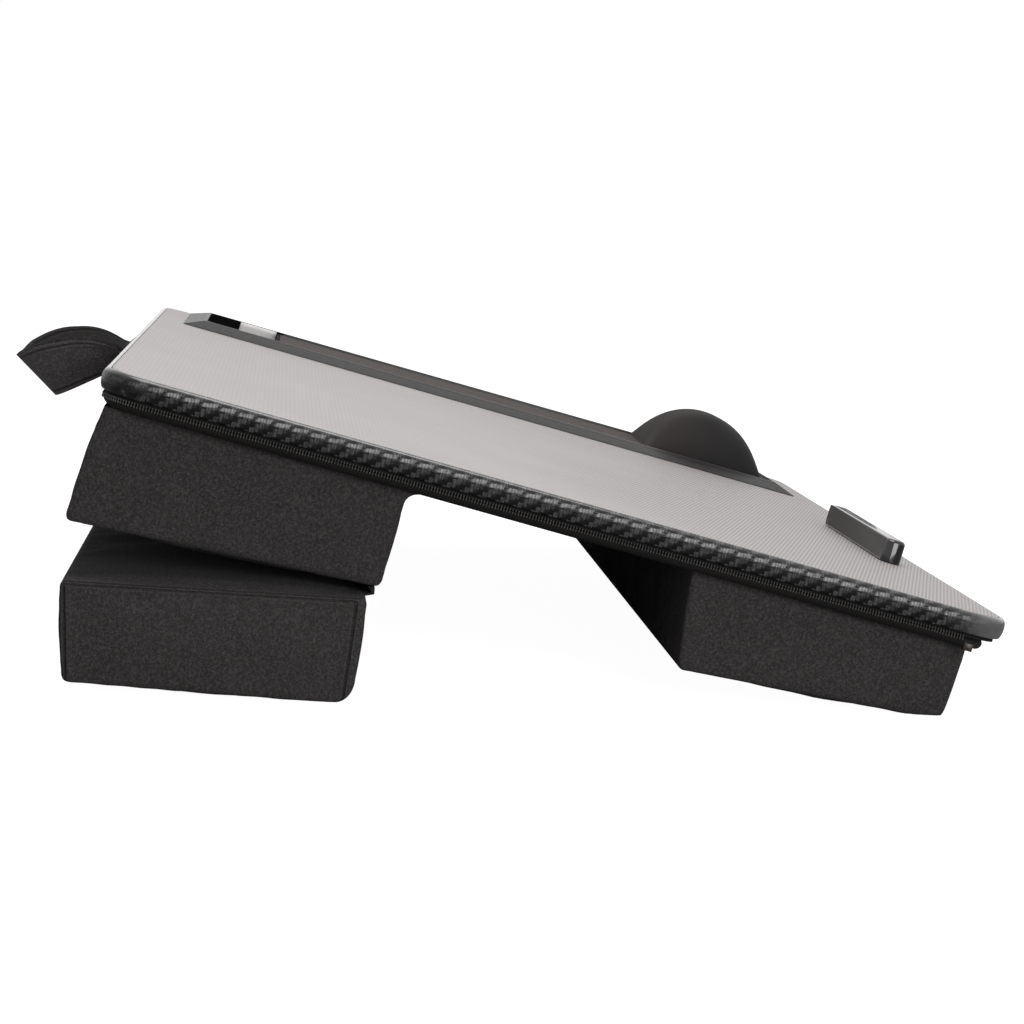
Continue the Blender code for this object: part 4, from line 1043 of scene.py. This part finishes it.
class ZipperFinish(bpy.types.Operator):
    """Make the zipper's tapes, its two coils, the slider and the front piping"""

    bl_idname = "lap_desk.zipper"
    bl_label = "Zipper"

    def execute(self, context):
        halves = (
            ("zip_tape_upper", UPPER_TAPE, True, "board", "upper_tape"),
            ("zip_tape_lower", LOWER_TAPE, False, "base", "lower_tape"),
        )
        for name, section, closed, body, node in halves:
            tape = new_piece(name, swept_mesh(name, section, closed), "tape")
            hand_over(tape, body, "zip_black", node)
        tree = repeat_tree("coil_turns")
        s = sizes()
        values = {
            "Pitch": s.tooth_pitch,
            "Along": s.tooth_pitch * 0.6,
            "Out": s.tooth_depth,
            "Tall": s.tooth_height * 1.12,
            "Lean": math.radians(6),
            "Finish": finish_of("coil"),
        }
        halves = (
            ("zip_coil_upper", 0.5, "board", "upper_coil"),
            ("zip_coil_lower", -0.5, "base", "lower_coil"),
        )
        for name, share, body, node in halves:
            height = PARTING - COIL_DROP + s.tooth_height * share
            line = [(x, y, height) for x, y, _ in edge_points(COIL_OUT, False, 20, 0.02)]
            coil = new_piece(name, run_tree(name, line, tree, values), "coil")
            hand_over(coil, body, "zip_black", node)
        rounding = (METAL_EDGE, 3)
        place = ("zip_slider", "slider_body", "metal", "zip_slider", "zip_metal")
        slider = eased_copy(*place, *rounding)
        reshape(slider, lambda at: (at.x, respan(at.y, *SLIDER_Y), respan(at.z, *SLIDER_Z)))
        place = ("zip_end_clip", "end_clip_body", "metal", "base", "zip_metal")
        eased_copy(*place, *rounding)
        self.welt()
        return {"FINISHED"}

    @staticmethod
    def welt():
        """The welt round the front edge, filled with cord and closed at its rounded ends."""
        turn = [math.pi / 2 * step / 12 for step in range(13)]
        right = [(WELT_X + WELT_TURN * math.cos(a), WELT_Y - WELT_TURN * math.sin(a)) for a in turn]
        left = [(-x, y) for x, y in right]
        start, length = left[-1], right[-1][0] - left[-1][0]
        line = left + [(start[0] + length * k / 60, start[1]) for k in range(1, 60)] + right[::-1]
        rings = []
        for index, (x, y) in enumerate(line):
            before, after = line[max(0, index - 1)], line[min(len(line) - 1, index + 1)]
            along = Vector((after[0] - before[0], after[1] - before[1], 0.0)).normalized()
            out = Vector((-along.y, along.x, 0.0))
            ends = index in (0, len(line) - 1)
            shares = (0.02, 0.3, 0.55, 0.78, 0.93, 1.0) if ends else (1.0,)
            block = []
            for share in shares:
                girth = WELT_RADIUS * share
                bulge = math.sqrt(max(0.0, 1 - share**2)) * (1 if index == 0 else -1) * -0.6
                middle = Vector((x, y, WELT_Z)) + along * (WELT_RADIUS * bulge)
                ring = []
                for step in range(16):
                    angle = math.tau * step / 16
                    rise = Vector((0.0, 0.0, math.sin(angle) * girth))
                    ring.append(middle + out * (math.cos(angle) * girth) + rise)
                block.append(ring)
            rings += block if index == 0 else block[::-1]
        bm = bmesh.new()
        rows = [[bm.verts.new(point) for point in ring] for ring in rings]
        strips(bm, [row + row[:1] for row in rows])
        bm.faces.new(rows[0])
        bm.faces.new(rows[-1])
        piece = new_piece("front_welt", mesh_from("front_welt", bm), "base_cloth")
        hand_over(piece, "base", "zip_black", "front_piping")


class TrayFinish(bpy.types.Operator):
    """Round the tray's edges, paint shade into its pocket and onto the divider, and lay the blank
    label in it
    """

    bl_idname = "lap_desk.tray"
    bl_label = "Mouse tray"

    def execute(self, context):
        radius = sizes().edge_radius
        tray = eased_copy("mouse_tray", "tray_moulding", "moulding", "board", "gloss_black", radius)
        tray.data.materials.append(finish_of("divider"))
        # The pocket's faces and the divider take the painted shade finish.
        for face in tray.data.polygons:
            middle = DESK.inverted() @ face.center
            if WELL[0][0] - WELL_MARGIN < middle.x < WELL[1][0] + WELL_MARGIN:
                divider = DIVIDER[0] < middle.y < DIVIDER[1] and middle.z > DIVIDER_FOOT
                pocket = POCKET_END < middle.y < POCKET_REAR and middle.z < POCKET_TOP
                face.material_index = 1 if divider or pocket else 0
        self.label()
        return {"FINISHED"}

    @staticmethod
    def label():
        """The blank label, pressed round the pocket's corner up to the divider."""
        face = WELL[1][0] - GAP
        reach = WELL_CORNER - GAP
        length = LABEL_REAR - POCKET_END - WELL_CORNER
        line = [(face, LABEL_REAR - length * k / 12) for k in range(13)]
        for step in range(1, 7):
            angle = math.pi / 2 * step / 6
            x = face - WELL_CORNER + GAP + reach * math.cos(angle)
            line.append((x, POCKET_END + WELL_CORNER - reach * math.sin(angle)))
        heights = [LABEL_FOOT + (LABEL_TOP - LABEL_FOOT) * k / 4 for k in range(5)]
        bm = bmesh.new()
        strips(bm, [[bm.verts.new((x, y, z)) for z in heights] for x, y in line])
        mesh = smooth_mesh("pocket_label", bm)
        piece = new_piece("pocket_label", mesh, "sticker", HERE)
        modify(piece, "film", "SOLIDIFY", thickness=LABEL_THICKNESS, offset=0.0)
        piece = new_piece("pocket_label", baked(piece), "sticker")
        hand_over(piece, "board", "sticker_white", "blank_sticker")


class StopFinish(bpy.types.Operator):
    """Round the stop bar and its grip pad"""

    bl_idname = "lap_desk.stop"
    bl_label = "Stop bar"

    def execute(self, context):
        eased_copy("stop_bar", "stop_moulding", "gloss", "board", "gloss_black", STOP_EDGE)
        grip = eased_copy("stop_pad", "stop_grip", "grip", "board", "grip_grey", GRIP_EDGE)
        reshape(grip, lambda at: (respan(at.x, *GRIP_X), at.y, respan(at.z, *GRIP_Z)))
        return {"FINISHED"}


def rest_height(x, y):
    """The wrist rest's height over the mat: an arc across, rounded off towards both ends."""
    across = abs(y - REST_MIDDLE)
    if across >= REST_RADIUS:
        return 0.0
    arc = math.sqrt(REST_RADIUS**2 - across**2) - (REST_RADIUS - REST_RISE)
    inside = REST_LENGTH / 2 - abs(x - (WELL[0][0] + WELL[1][0]) / 2)
    if arc <= 0.0 or inside <= 0.0:
        return 0.0
    if inside < REST_END:
        arc *= math.sqrt(1 - (1 - inside / REST_END) ** 2.5)
    return arc


class MatFinish(bpy.types.Operator):
    """Lay the mouse mat and stretch its cloth over the wrist rest"""

    bl_idname = "lap_desk.mat"
    bl_label = "Mat and wrist rest"

    def execute(self, context):
        dress("mat_foam", "foam")
        dress("wrist_rest_core", "foam")
        low = (WELL[0][0] + GAP, WELL[0][1] + GAP)
        high = (WELL[1][0] - GAP, WELL[1][1] - GAP)
        xs = self.lines(low[0], high[0], REST_LENGTH / 2, (low[0] + high[0]) / 2, 48)
        ys = self.lines(low[1], high[1], REST_CHORD / 2, REST_MIDDLE, 40)
        ys += list(np.linspace(REST_MIDDLE + REST_CHORD / 2, high[1], 40)[1:])
        ys = sorted(set(round(y, 6) for y in ys if low[1] <= y <= high[1]))
        bm = bmesh.new()
        rest_layer = bm.faces.layers.int.new("rest")

        def point(x, y):
            return bm.verts.new((*self.rounded(x, y, low, high), MAT_TOP + rest_height(x, y)))

        strips(bm, [[point(x, y) for x in xs] for y in ys])
        for face in bm.faces:
            top = max(corner.co.z for corner in face.verts)
            face[rest_layer] = int(top > MAT_TOP + REST_FOOT)
        edges = [e for e in bm.edges if e.is_boundary]
        down = bmesh.ops.extrude_edge_only(bm, edges=edges)
        for vert in [g for g in down["geom"] if isinstance(g, bmesh.types.BMVert)]:
            vert.co.z = MAT_TOP - MAT_EDGE
        edges = [e for e in bm.edges if e.is_boundary]
        bmesh.ops.holes_fill(bm, edges=edges, sides=0)
        for face in bm.faces:
            face.material_index = face[rest_layer]
        mesh = mesh_from("mat_and_rest", bm, math.radians(50))
        materials = [p.material_index for p in mesh.polygons]
        piece = new_piece("mat_and_rest", mesh, "mat")
        piece.data.materials.append(finish_of("rest"))
        piece.data.polygons.foreach_set("material_index", materials)
        hand_over(piece, "board", "mat_cloth", "mat_cloth")
        return {"FINISHED"}

    @staticmethod
    def lines(low, high, half, middle, count):
        """Grid lines that crowd towards the rest's rounded sides."""
        found = [low, high]
        for step in range(count + 1):
            share = -math.cos(math.pi * step / count)
            found.append(middle + half * share)
        return sorted(set(round(v, 6) for v in found if low <= v <= high))

    @staticmethod
    def rounded(x, y, low, high):
        """Pulls the sheet's corners in to the well's corner radius."""
        corner_x = min(max(x, low[0] + WELL_CORNER), high[0] - WELL_CORNER)
        corner_y = min(max(y, low[1] + WELL_CORNER), high[1] - WELL_CORNER)
        reach = math.hypot(x - corner_x, y - corner_y)
        if reach <= WELL_CORNER:
            return x, y
        scale = WELL_CORNER / reach
        return corner_x + (x - corner_x) * scale, corner_y + (y - corner_y) * scale


# Cushions.


def crowded(length, cell):
    """Shares -1 to 1 along a side: fine steps near both ends and even cells between."""
    near = [step for step in FINE_STEPS if step < length / 2.2]
    left = near[-1]
    count = max(2, round((length - 2 * left) / cell))
    middle = [left + (length - 2 * left) * step / count for step in range(1, count)]
    places = near + middle + [length - step for step in reversed(near)]
    return [2 * place / length - 1 for place in places]


def shell_grid(xs, ys, zs, open_top):
    """The faces of a unit box cut along the given shares."""
    bm = bmesh.new()
    found = {}

    def vert(a, b, c):
        key = (round(a, 5), round(b, 5), round(c, 5))
        if key not in found:
            found[key] = bm.verts.new((a, b, c))
        return found[key]

    def patch(first, second, place):
        for a0, a1 in zip(first, first[1:]):
            for b0, b1 in zip(second, second[1:]):
                corners = (a0, b0), (a1, b0), (a1, b1), (a0, b1)
                bm.faces.new([vert(*place(a, b)) for a, b in corners])

    for side in (-1.0, 1.0):
        patch(ys, zs, lambda a, b, s=side: (s, a, b))
        patch(xs, zs, lambda a, b, s=side: (a, s, b))
        if side < 0 or not open_top:
            patch(xs, ys, lambda a, b, s=side: (a, b, s))
    bmesh.ops.recalc_face_normals(bm, faces=bm.faces)
    return bm


def eased_point(point, half, open_top, foot):
    """Draws a box's point in to its rounded edges, and to its rounder front lower edge."""
    inner = half - Vector((COVER_EDGE, COVER_EDGE, COVER_EDGE))
    if open_top and point.z > 0:
        inner.z = half.z + COVER_EDGE
    core = Vector([max(-i, min(i, p)) for i, p in zip(inner, point)])
    away = point - core
    if away.length > 0:
        point = core + away.normalized() * COVER_EDGE
    side = Vector((point.y + half.y, point.z + half.z))
    if side.x < foot and side.y < foot:
        middle = Vector((foot, foot))
        reach = side - middle
        if reach.length > foot:
            side = middle + reach.normalized() * foot
            point.y, point.z = side.x - half.y, side.y - half.z
    return point


def cushion_bm(open_top, profile, half_length, foot, crowns, seams=None, skirt=0.0):
    """A boxed cushion: rounded and crowned, with the distance to its end seams kept on it.

    foot rounds its front lower edge. skirt is how far the cover's top spreads in front, where
    its cloth curves into the base.
    """
    depth = (math.dist(profile[0], profile[3]) + math.dist(profile[1], profile[2])) / 2
    height = (math.dist(profile[0], profile[1]) + math.dist(profile[2], profile[3])) / 2
    cell = sizes().cloth_cell
    xs = crowded(2 * half_length, cell)
    ys = crowded(depth, cell)
    zs = crowded(height, cell * 0.8)
    bm = shell_grid(xs, ys, zs, open_top)
    gap_layer = bm.verts.layers.float.new("seam_gap")
    hold_layer = bm.verts.layers.float.new("hold")
    half = Vector((half_length, depth / 2, height / 2))
    for vert in bm.verts:
        a, b, c = vert.co
        point = Vector((a * half.x, b * half.y, c * half.z))
        out_x = half.x - abs(point.x)
        if seams:
            rear, top, front = seams
            gaps = (half.y - point.y - rear, half.z - point.z - top, half.y + point.y - front)
            vert[gap_layer] = min(gaps) + out_x
        else:
            vert[gap_layer] = 1.0
        point = eased_point(point, half, open_top, foot)
        b2, c2 = point.y / half.y, point.z / half.z
        low = [f + (r - f) * (b2 + 1) / 2 for f, r in zip(profile[2], profile[1])]
        high = [f + (r - f) * (b2 + 1) / 2 for f, r in zip(profile[3], profile[0])]
        y = low[0] + (high[0] - low[0]) * (c2 + 1) / 2
        z = low[1] + (high[1] - low[1]) * (c2 + 1) / 2
        x = point.x
        along = 1 - abs(a) ** 8
        belly = max(0.0, 1 - b2**2)
        drum = max(0.0, 1 - c2**2)
        if c < -0.999:
            z -= crowns["bottom"] * along * belly * (1 + crowns.get("lean", 0.0) * b2)
        if abs(b) > 0.999:
            bulge = crowns["rear"] if b > 0 else crowns["front"]
            y += math.copysign(bulge * drum * (1 - 0.4 * abs(a) ** 8), b)
        if abs(a) > 0.999:
            x += math.copysign(crowns["end"] * belly**1.5 * drum, a)
        if skirt and b < 0:
            rise = max(0.0, 1 - (half.z - c * half.z) / skirt)
            near = max(0.0, 1 - (1 + b) * half.y / SKIRT_DEPTH)
            y -= skirt * (1 - math.sqrt(max(0.0, 1 - rise**2))) * near
        rim = sorted((out_x, half.y - abs(b * half.y), half.z - abs(c * half.z)))
        held = rim[1] < HELD_RIM or open_top and half.z - c * half.z < max(0.004, skirt)
        fade = max(0.0, 1 - (rim[1] - HELD_RIM) / HELD_FADE)
        vert[hold_layer] = 1.0 if held else fade * 0.5
        vert.co = (x, y, z)
    return bm


def settle(piece, swell):
    """Lets the cloth cover swell and buckle a little over its filling, held at the seams."""
    rest = vectors(piece.data.vertices, "co")
    group = piece.vertex_groups.new(name="hold")
    hold = [value.value for value in piece.data.attributes["hold"].data]
    for index, weight in enumerate(hold):
        if weight > 0:
            group.add([index], weight, "REPLACE")
    cloth = piece.modifiers.new("cover", "CLOTH")
    for key, value in CLOTH.items():
        setattr(cloth.settings, key, value)
    cloth.settings.effector_weights.gravity = 0.0
    cloth.collision_settings.use_collision = False
    cloth.collision_settings.use_self_collision = False
    scene = bpy.context.scene
    last = sizes().settle_frames
    cloth.point_cache.frame_start = 1
    cloth.point_cache.frame_end = last
    for step in range(1, last + 1):
        scene.frame_set(step)
    graph = bpy.context.evaluated_depsgraph_get()
    moved = vectors(piece.evaluated_get(graph).data.vertices, "co")
    piece.modifiers.remove(cloth)
    scene.frame_set(1)
    shift = moved - rest
    normals = vectors(piece.data.vertex_normals, "vector")
    sunk = np.minimum((shift * normals).sum(axis=1) + SINK_LIMIT, 0.0)
    shift -= normals * sunk[:, None]
    length = np.linalg.norm(shift, axis=1)
    limit = swell * np.tanh(length / swell)
    scale = np.where(length > 1e-9, limit / np.maximum(length, 1e-9), 0.0)
    moved = rest + shift * scale[:, None]
    piece.data.vertices.foreach_set("co", moved.ravel())
    piece.data.update()


def ripple(piece, seed):
    """Slow unevenness of the filling under the cloth."""
    offset = Vector((seed * 3.1, seed * 1.7, seed * 2.3))
    normals = [Vector(n.vector) for n in piece.data.vertex_normals]
    hold = [value.value for value in piece.data.attributes["hold"].data]
    for vert, normal, held in zip(piece.data.vertices, normals, hold):
        slow = noise.noise(vert.co * 26 + offset) * 0.7 + noise.noise(vert.co * 70 + offset) * 0.3
        vert.co += normal * (slow * RIPPLE * (1 - held))
    piece.data.update()


def make_cushion(name, body, node, place, seed, shape):
    """Builds, settles, smooths and places one cushion's cover, which rests on the ground."""
    mesh = smooth_mesh(name, cushion_bm(body == "base", **shape))
    piece = new_piece(name, mesh, "cloth", HERE)
    settle(piece, sizes().cushion_swell)
    ripple(piece, seed)
    piece.data.transform(place)
    modify(piece, "smooth", "SUBSURF", levels=1, render_levels=1)
    final = baked(piece)
    points = vectors(final.vertices, "co")
    points[:, 2] = np.maximum(points[:, 2], GROUND_GAP)
    final.vertices.foreach_set("co", points.ravel())
    piece = new_piece(name, final, "cloth", HERE)
    hand_over(piece, body, "base_fabric", node)
    return piece


class CushionFinish(bpy.types.Operator):
    """Cover, settle and crease the two bolsters and the riser, and lay the riser's hinge tape"""

    bl_idname = "lap_desk.cushions"
    bl_label = "Cushions"

    def execute(self, context):
        for node in ("rear_bolster_foam", "front_bolster_foam", "riser_foam"):
            dress(node, "foam")
        place = ("riser_hinge_tape", "hinge_cloth", "base_cloth", "riser", "base_fabric")
        edge = RISER_AXIS.y + HINGE_TAPE_START
        tape = eased_copy(*place, TAPE_EDGE)
        reshape(tape, lambda at: (at.x, at.y + HINGE_TAPE_SHIFT * (at.y > edge), at.z))
        make_cushion("rear_bolster", "base", "rear_bolster_cover", DESK, 1, REAR_SHAPE)
        make_cushion("front_bolster", "base", "front_bolster_cover", DESK, 2, FRONT_SHAPE)
        cushion = make_cushion("riser_cushion", "riser", "riser_cover", RISER, 3, RISER_SHAPE)
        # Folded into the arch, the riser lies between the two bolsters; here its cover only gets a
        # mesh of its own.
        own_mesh(cushion)
        return {"FINISHED"}


# Handle.


def strap_point(across, along, width):
    """A point of the strap in the desk frame: along 0 to 1 round the loop, across its width."""
    angle = math.pi * (along - 0.5)
    side = math.copysign(abs(math.sin(angle)) ** LOOP_CORNER, math.sin(angle))
    out = max(0.0, math.cos(angle)) ** LOOP_CORNER
    rise = LOOP_BOW * math.sin(math.pi * min(1.0, 1.6 * out)) - LOOP_SAG * out**3
    if side > 0:
        far = max(0.0, out - 0.15) / 0.85
        lift = -FAR_DIP + FAR_LIFT * (1 - (1 - far) ** 1.6)
        reach = min(1.0, side / 0.5)
        rise += lift * min(1.0, 14 * out) * reach * reach * (3 - 2 * reach)
    else:
        rise -= NEAR_LIFT * side * (1 - out) ** 0.7 * min(1.0, 14 * out)
    outer = Vector((LOOP_HALF * side, -LOOP_ROOT + (LOOP_REACH[0] + LOOP_ROOT) * out, rise))
    near = 1 - (1 - min(1.0, 4 * out)) ** 2
    drop = -INNER_DROP[0] * out - INNER_DROP[1] * near
    inward = -LOOP_ROOT + (LOOP_REACH[1] + LOOP_ROOT) * out
    inner = Vector(((LOOP_HALF - width) * side, inward, drop))
    return STRAP_AXIS + outer.lerp(inner, across)


class HandleFinish(bpy.types.Operator):
    """Loop the handle's strap, with hemmed edges, its up-facing faces painted darker and its
    down-facing faces painted lighter as shade and light
    """

    bl_idname = "lap_desk.handle"
    bl_label = "Handle"

    def execute(self, context):
        width = sizes().strap_width
        bm = bmesh.new()
        gap_layer = bm.verts.layers.float.new("seam_gap")
        rows = []
        count, cells = 72, 14
        for step in range(count + 1):
            row = []
            for cell in range(cells + 1):
                across = (1 - math.cos(math.pi * cell / cells)) / 2
                point = strap_point(across, (1 - math.cos(math.pi * step / count)) / 2, width)
                vert = bm.verts.new(point)
                vert[gap_layer] = width / 2 - abs(across - 0.5) * width - HEM_IN
                row.append(vert)
            rows.append(row)
        strips(bm, rows)
        mesh = smooth_mesh("strap_loop", bm)
        piece = new_piece("strap_loop", mesh, "strap", HERE)
        modify(piece, "cloth", "SOLIDIFY", thickness=sizes().strap_thickness, offset=0.0)
        limit = {"limit_method": "ANGLE", "angle_limit": math.radians(50)}
        modify(piece, "edge", "BEVEL", width=STRAP_EDGE, segments=3, **limit)
        final = baked(piece)
        final.transform(DESK)
        up = DESK.to_3x3() @ Vector((0.0, 0.0, 1.0))
        piece = new_piece("strap_loop", final, "strap", HERE)
        # Down-facing faces take the lighter copy of the cloth and the others the darker one, as
        # painted light and shade.
        final.materials.append(finish_of("strap_painted_lit_side"))
        for face in final.polygons:
            face.material_index = 1 if face.normal.dot(up) < 0 else 0
        hand_over(piece, "handle", "base_fabric", "handle_strap")
        return {"FINISHED"}


class StageFinish(bpy.types.Operator):
    """Set the floor, the lamps, the world and the camera"""

    bl_idname = "lap_desk.stage"
    bl_label = "Studio"

    def execute(self, context):
        scene = context.scene
        scene.view_settings.view_transform = "Standard"
        self.camera(scene)
        self.floor()
        self.world(scene)
        for lamp in LAMPS:
            self.lamp(*lamp)
        return {"FINISHED"}

    def camera(self, scene):
        data = bpy.data.cameras.new("camera")
        data.lens = LENS
        data.sensor_width = 36.0
        camera = new_object("camera", data)
        turn = CAMERA_TURN.transposed() @ Matrix.Diagonal((1.0, -1.0, -1.0))
        turn = DESK.to_3x3() @ turn
        camera.matrix_world = Matrix.Translation(DESK @ CAMERA_POINT) @ turn.normalized().to_4x4()
        scene.camera = camera

    def floor(self):
        bm = bmesh.new()
        bmesh.ops.create_grid(bm, x_segments=1, y_segments=1, size=FLOOR_SIZE)
        mesh = mesh_from("floor", bm)
        mesh.transform(Matrix.Translation((0.0, 0.0, -FLOOR_DROP)))
        floor = new_object("floor", mesh)
        finish = Finish("Studio_floor", (FLOOR_TONE,) * 3, 0.95, specular=0.1)
        seen = finish.add("ShaderNodeLightPath", {}, {}, "Is Camera Ray") * FLOOR_GLOW
        white = {"Color": (1.0, 1.0, 1.0, 1.0), "Strength": seen}
        glow = finish.add("ShaderNodeEmission", {}, white)
        plain = Wire(finish, finish.shader.outputs[0])
        both = finish.add("ShaderNodeAddShader", {}, {0: plain, 1: glow})
        out = finish.tree.nodes["Material Output"]
        finish.tree.links.new(both.socket, out.inputs["Surface"])
        mesh.materials.append(finish.material)

    def world(self, scene):
        world = bpy.data.worlds.new("studio")
        world.use_nodes = True
        scene.world = world
        tree = world.node_tree
        back = tree.nodes["Background"]
        back.inputs["Color"].default_value = (1.0, 1.0, 1.0, 1.0)
        seen = add_node(tree, "ShaderNodeLightPath", {}, {})
        kind, larger = "ShaderNodeMath", {"operation": "MAXIMUM"}
        shown = add_node(tree, kind, larger, {0: seen["Is Camera Ray"], 1: seen["Is Glossy Ray"]})
        shown = add_node(tree, kind, larger, {0: shown[0], 1: seen["Is Transmission Ray"]})
        levels = {"Value": shown[0], "To Min": WORLD_LEVEL, "To Max": 1.0}
        level = add_node(tree, "ShaderNodeMapRange", {}, levels)
        tree.links.new(level[0], back.inputs["Strength"])

    def lamp(self, name, place, size, power):
        data = bpy.data.lights.new(name, "AREA")
        data.shape = "SQUARE"
        data.size = size
        data.energy = power
        lamp = new_object(name, data)
        aim = LAMP_AIM - Vector(place)
        turn = aim.to_track_quat("-Z", "Y").to_matrix().to_4x4()
        lamp.matrix_world = Matrix.Translation(place) @ turn


class LapDeskPanel(bpy.types.Panel):
    """Shows the desk's steps and their settings"""

    bl_idname = "LAPDESK_PT_pieces"
    bl_label = "Lap Desk"
    bl_space_type = "VIEW_3D"
    bl_region_type = "UI"
    bl_category = "Lap Desk"

    def draw(self, context):
        for operator in OPERATORS:
            self.layout.operator(operator.bl_idname)
        for group in (context.scene.lap_desk_sizes, context.scene.lap_desk_colours):
            column = self.layout.column()
            for key in group.__annotations__:
                column.prop(group, key)


OPERATORS = (
    StageFinish,
    BoardFinish,
    ZipperFinish,
    TrayFinish,
    MatFinish,
    StopFinish,
    CushionFinish,
    HandleFinish,
)
CLASSES = (DeskSizes, DeskColours, *OPERATORS, LapDeskPanel)


def register():
    for item in CLASSES:
        bpy.utils.register_class(item)
    bpy.types.Scene.lap_desk_sizes = PointerProperty(type=DeskSizes)
    bpy.types.Scene.lap_desk_colours = PointerProperty(type=DeskColours)


def unregister():
    del bpy.types.Scene.lap_desk_sizes
    del bpy.types.Scene.lap_desk_colours
    for item in reversed(CLASSES):
        bpy.utils.unregister_class(item)


def corners(box):
    return [list(map(float, corner)) for corner in box]


def main():
    register()
    bpy.ops.lap_desk.stage()
    bpy.ops.lap_desk.board()
    bpy.ops.lap_desk.zipper()
    bpy.ops.lap_desk.tray()
    bpy.ops.lap_desk.mat()
    bpy.ops.lap_desk.stop()
    bpy.ops.lap_desk.cushions()
    bpy.ops.lap_desk.handle()


if __name__ == "__main__":
    main()
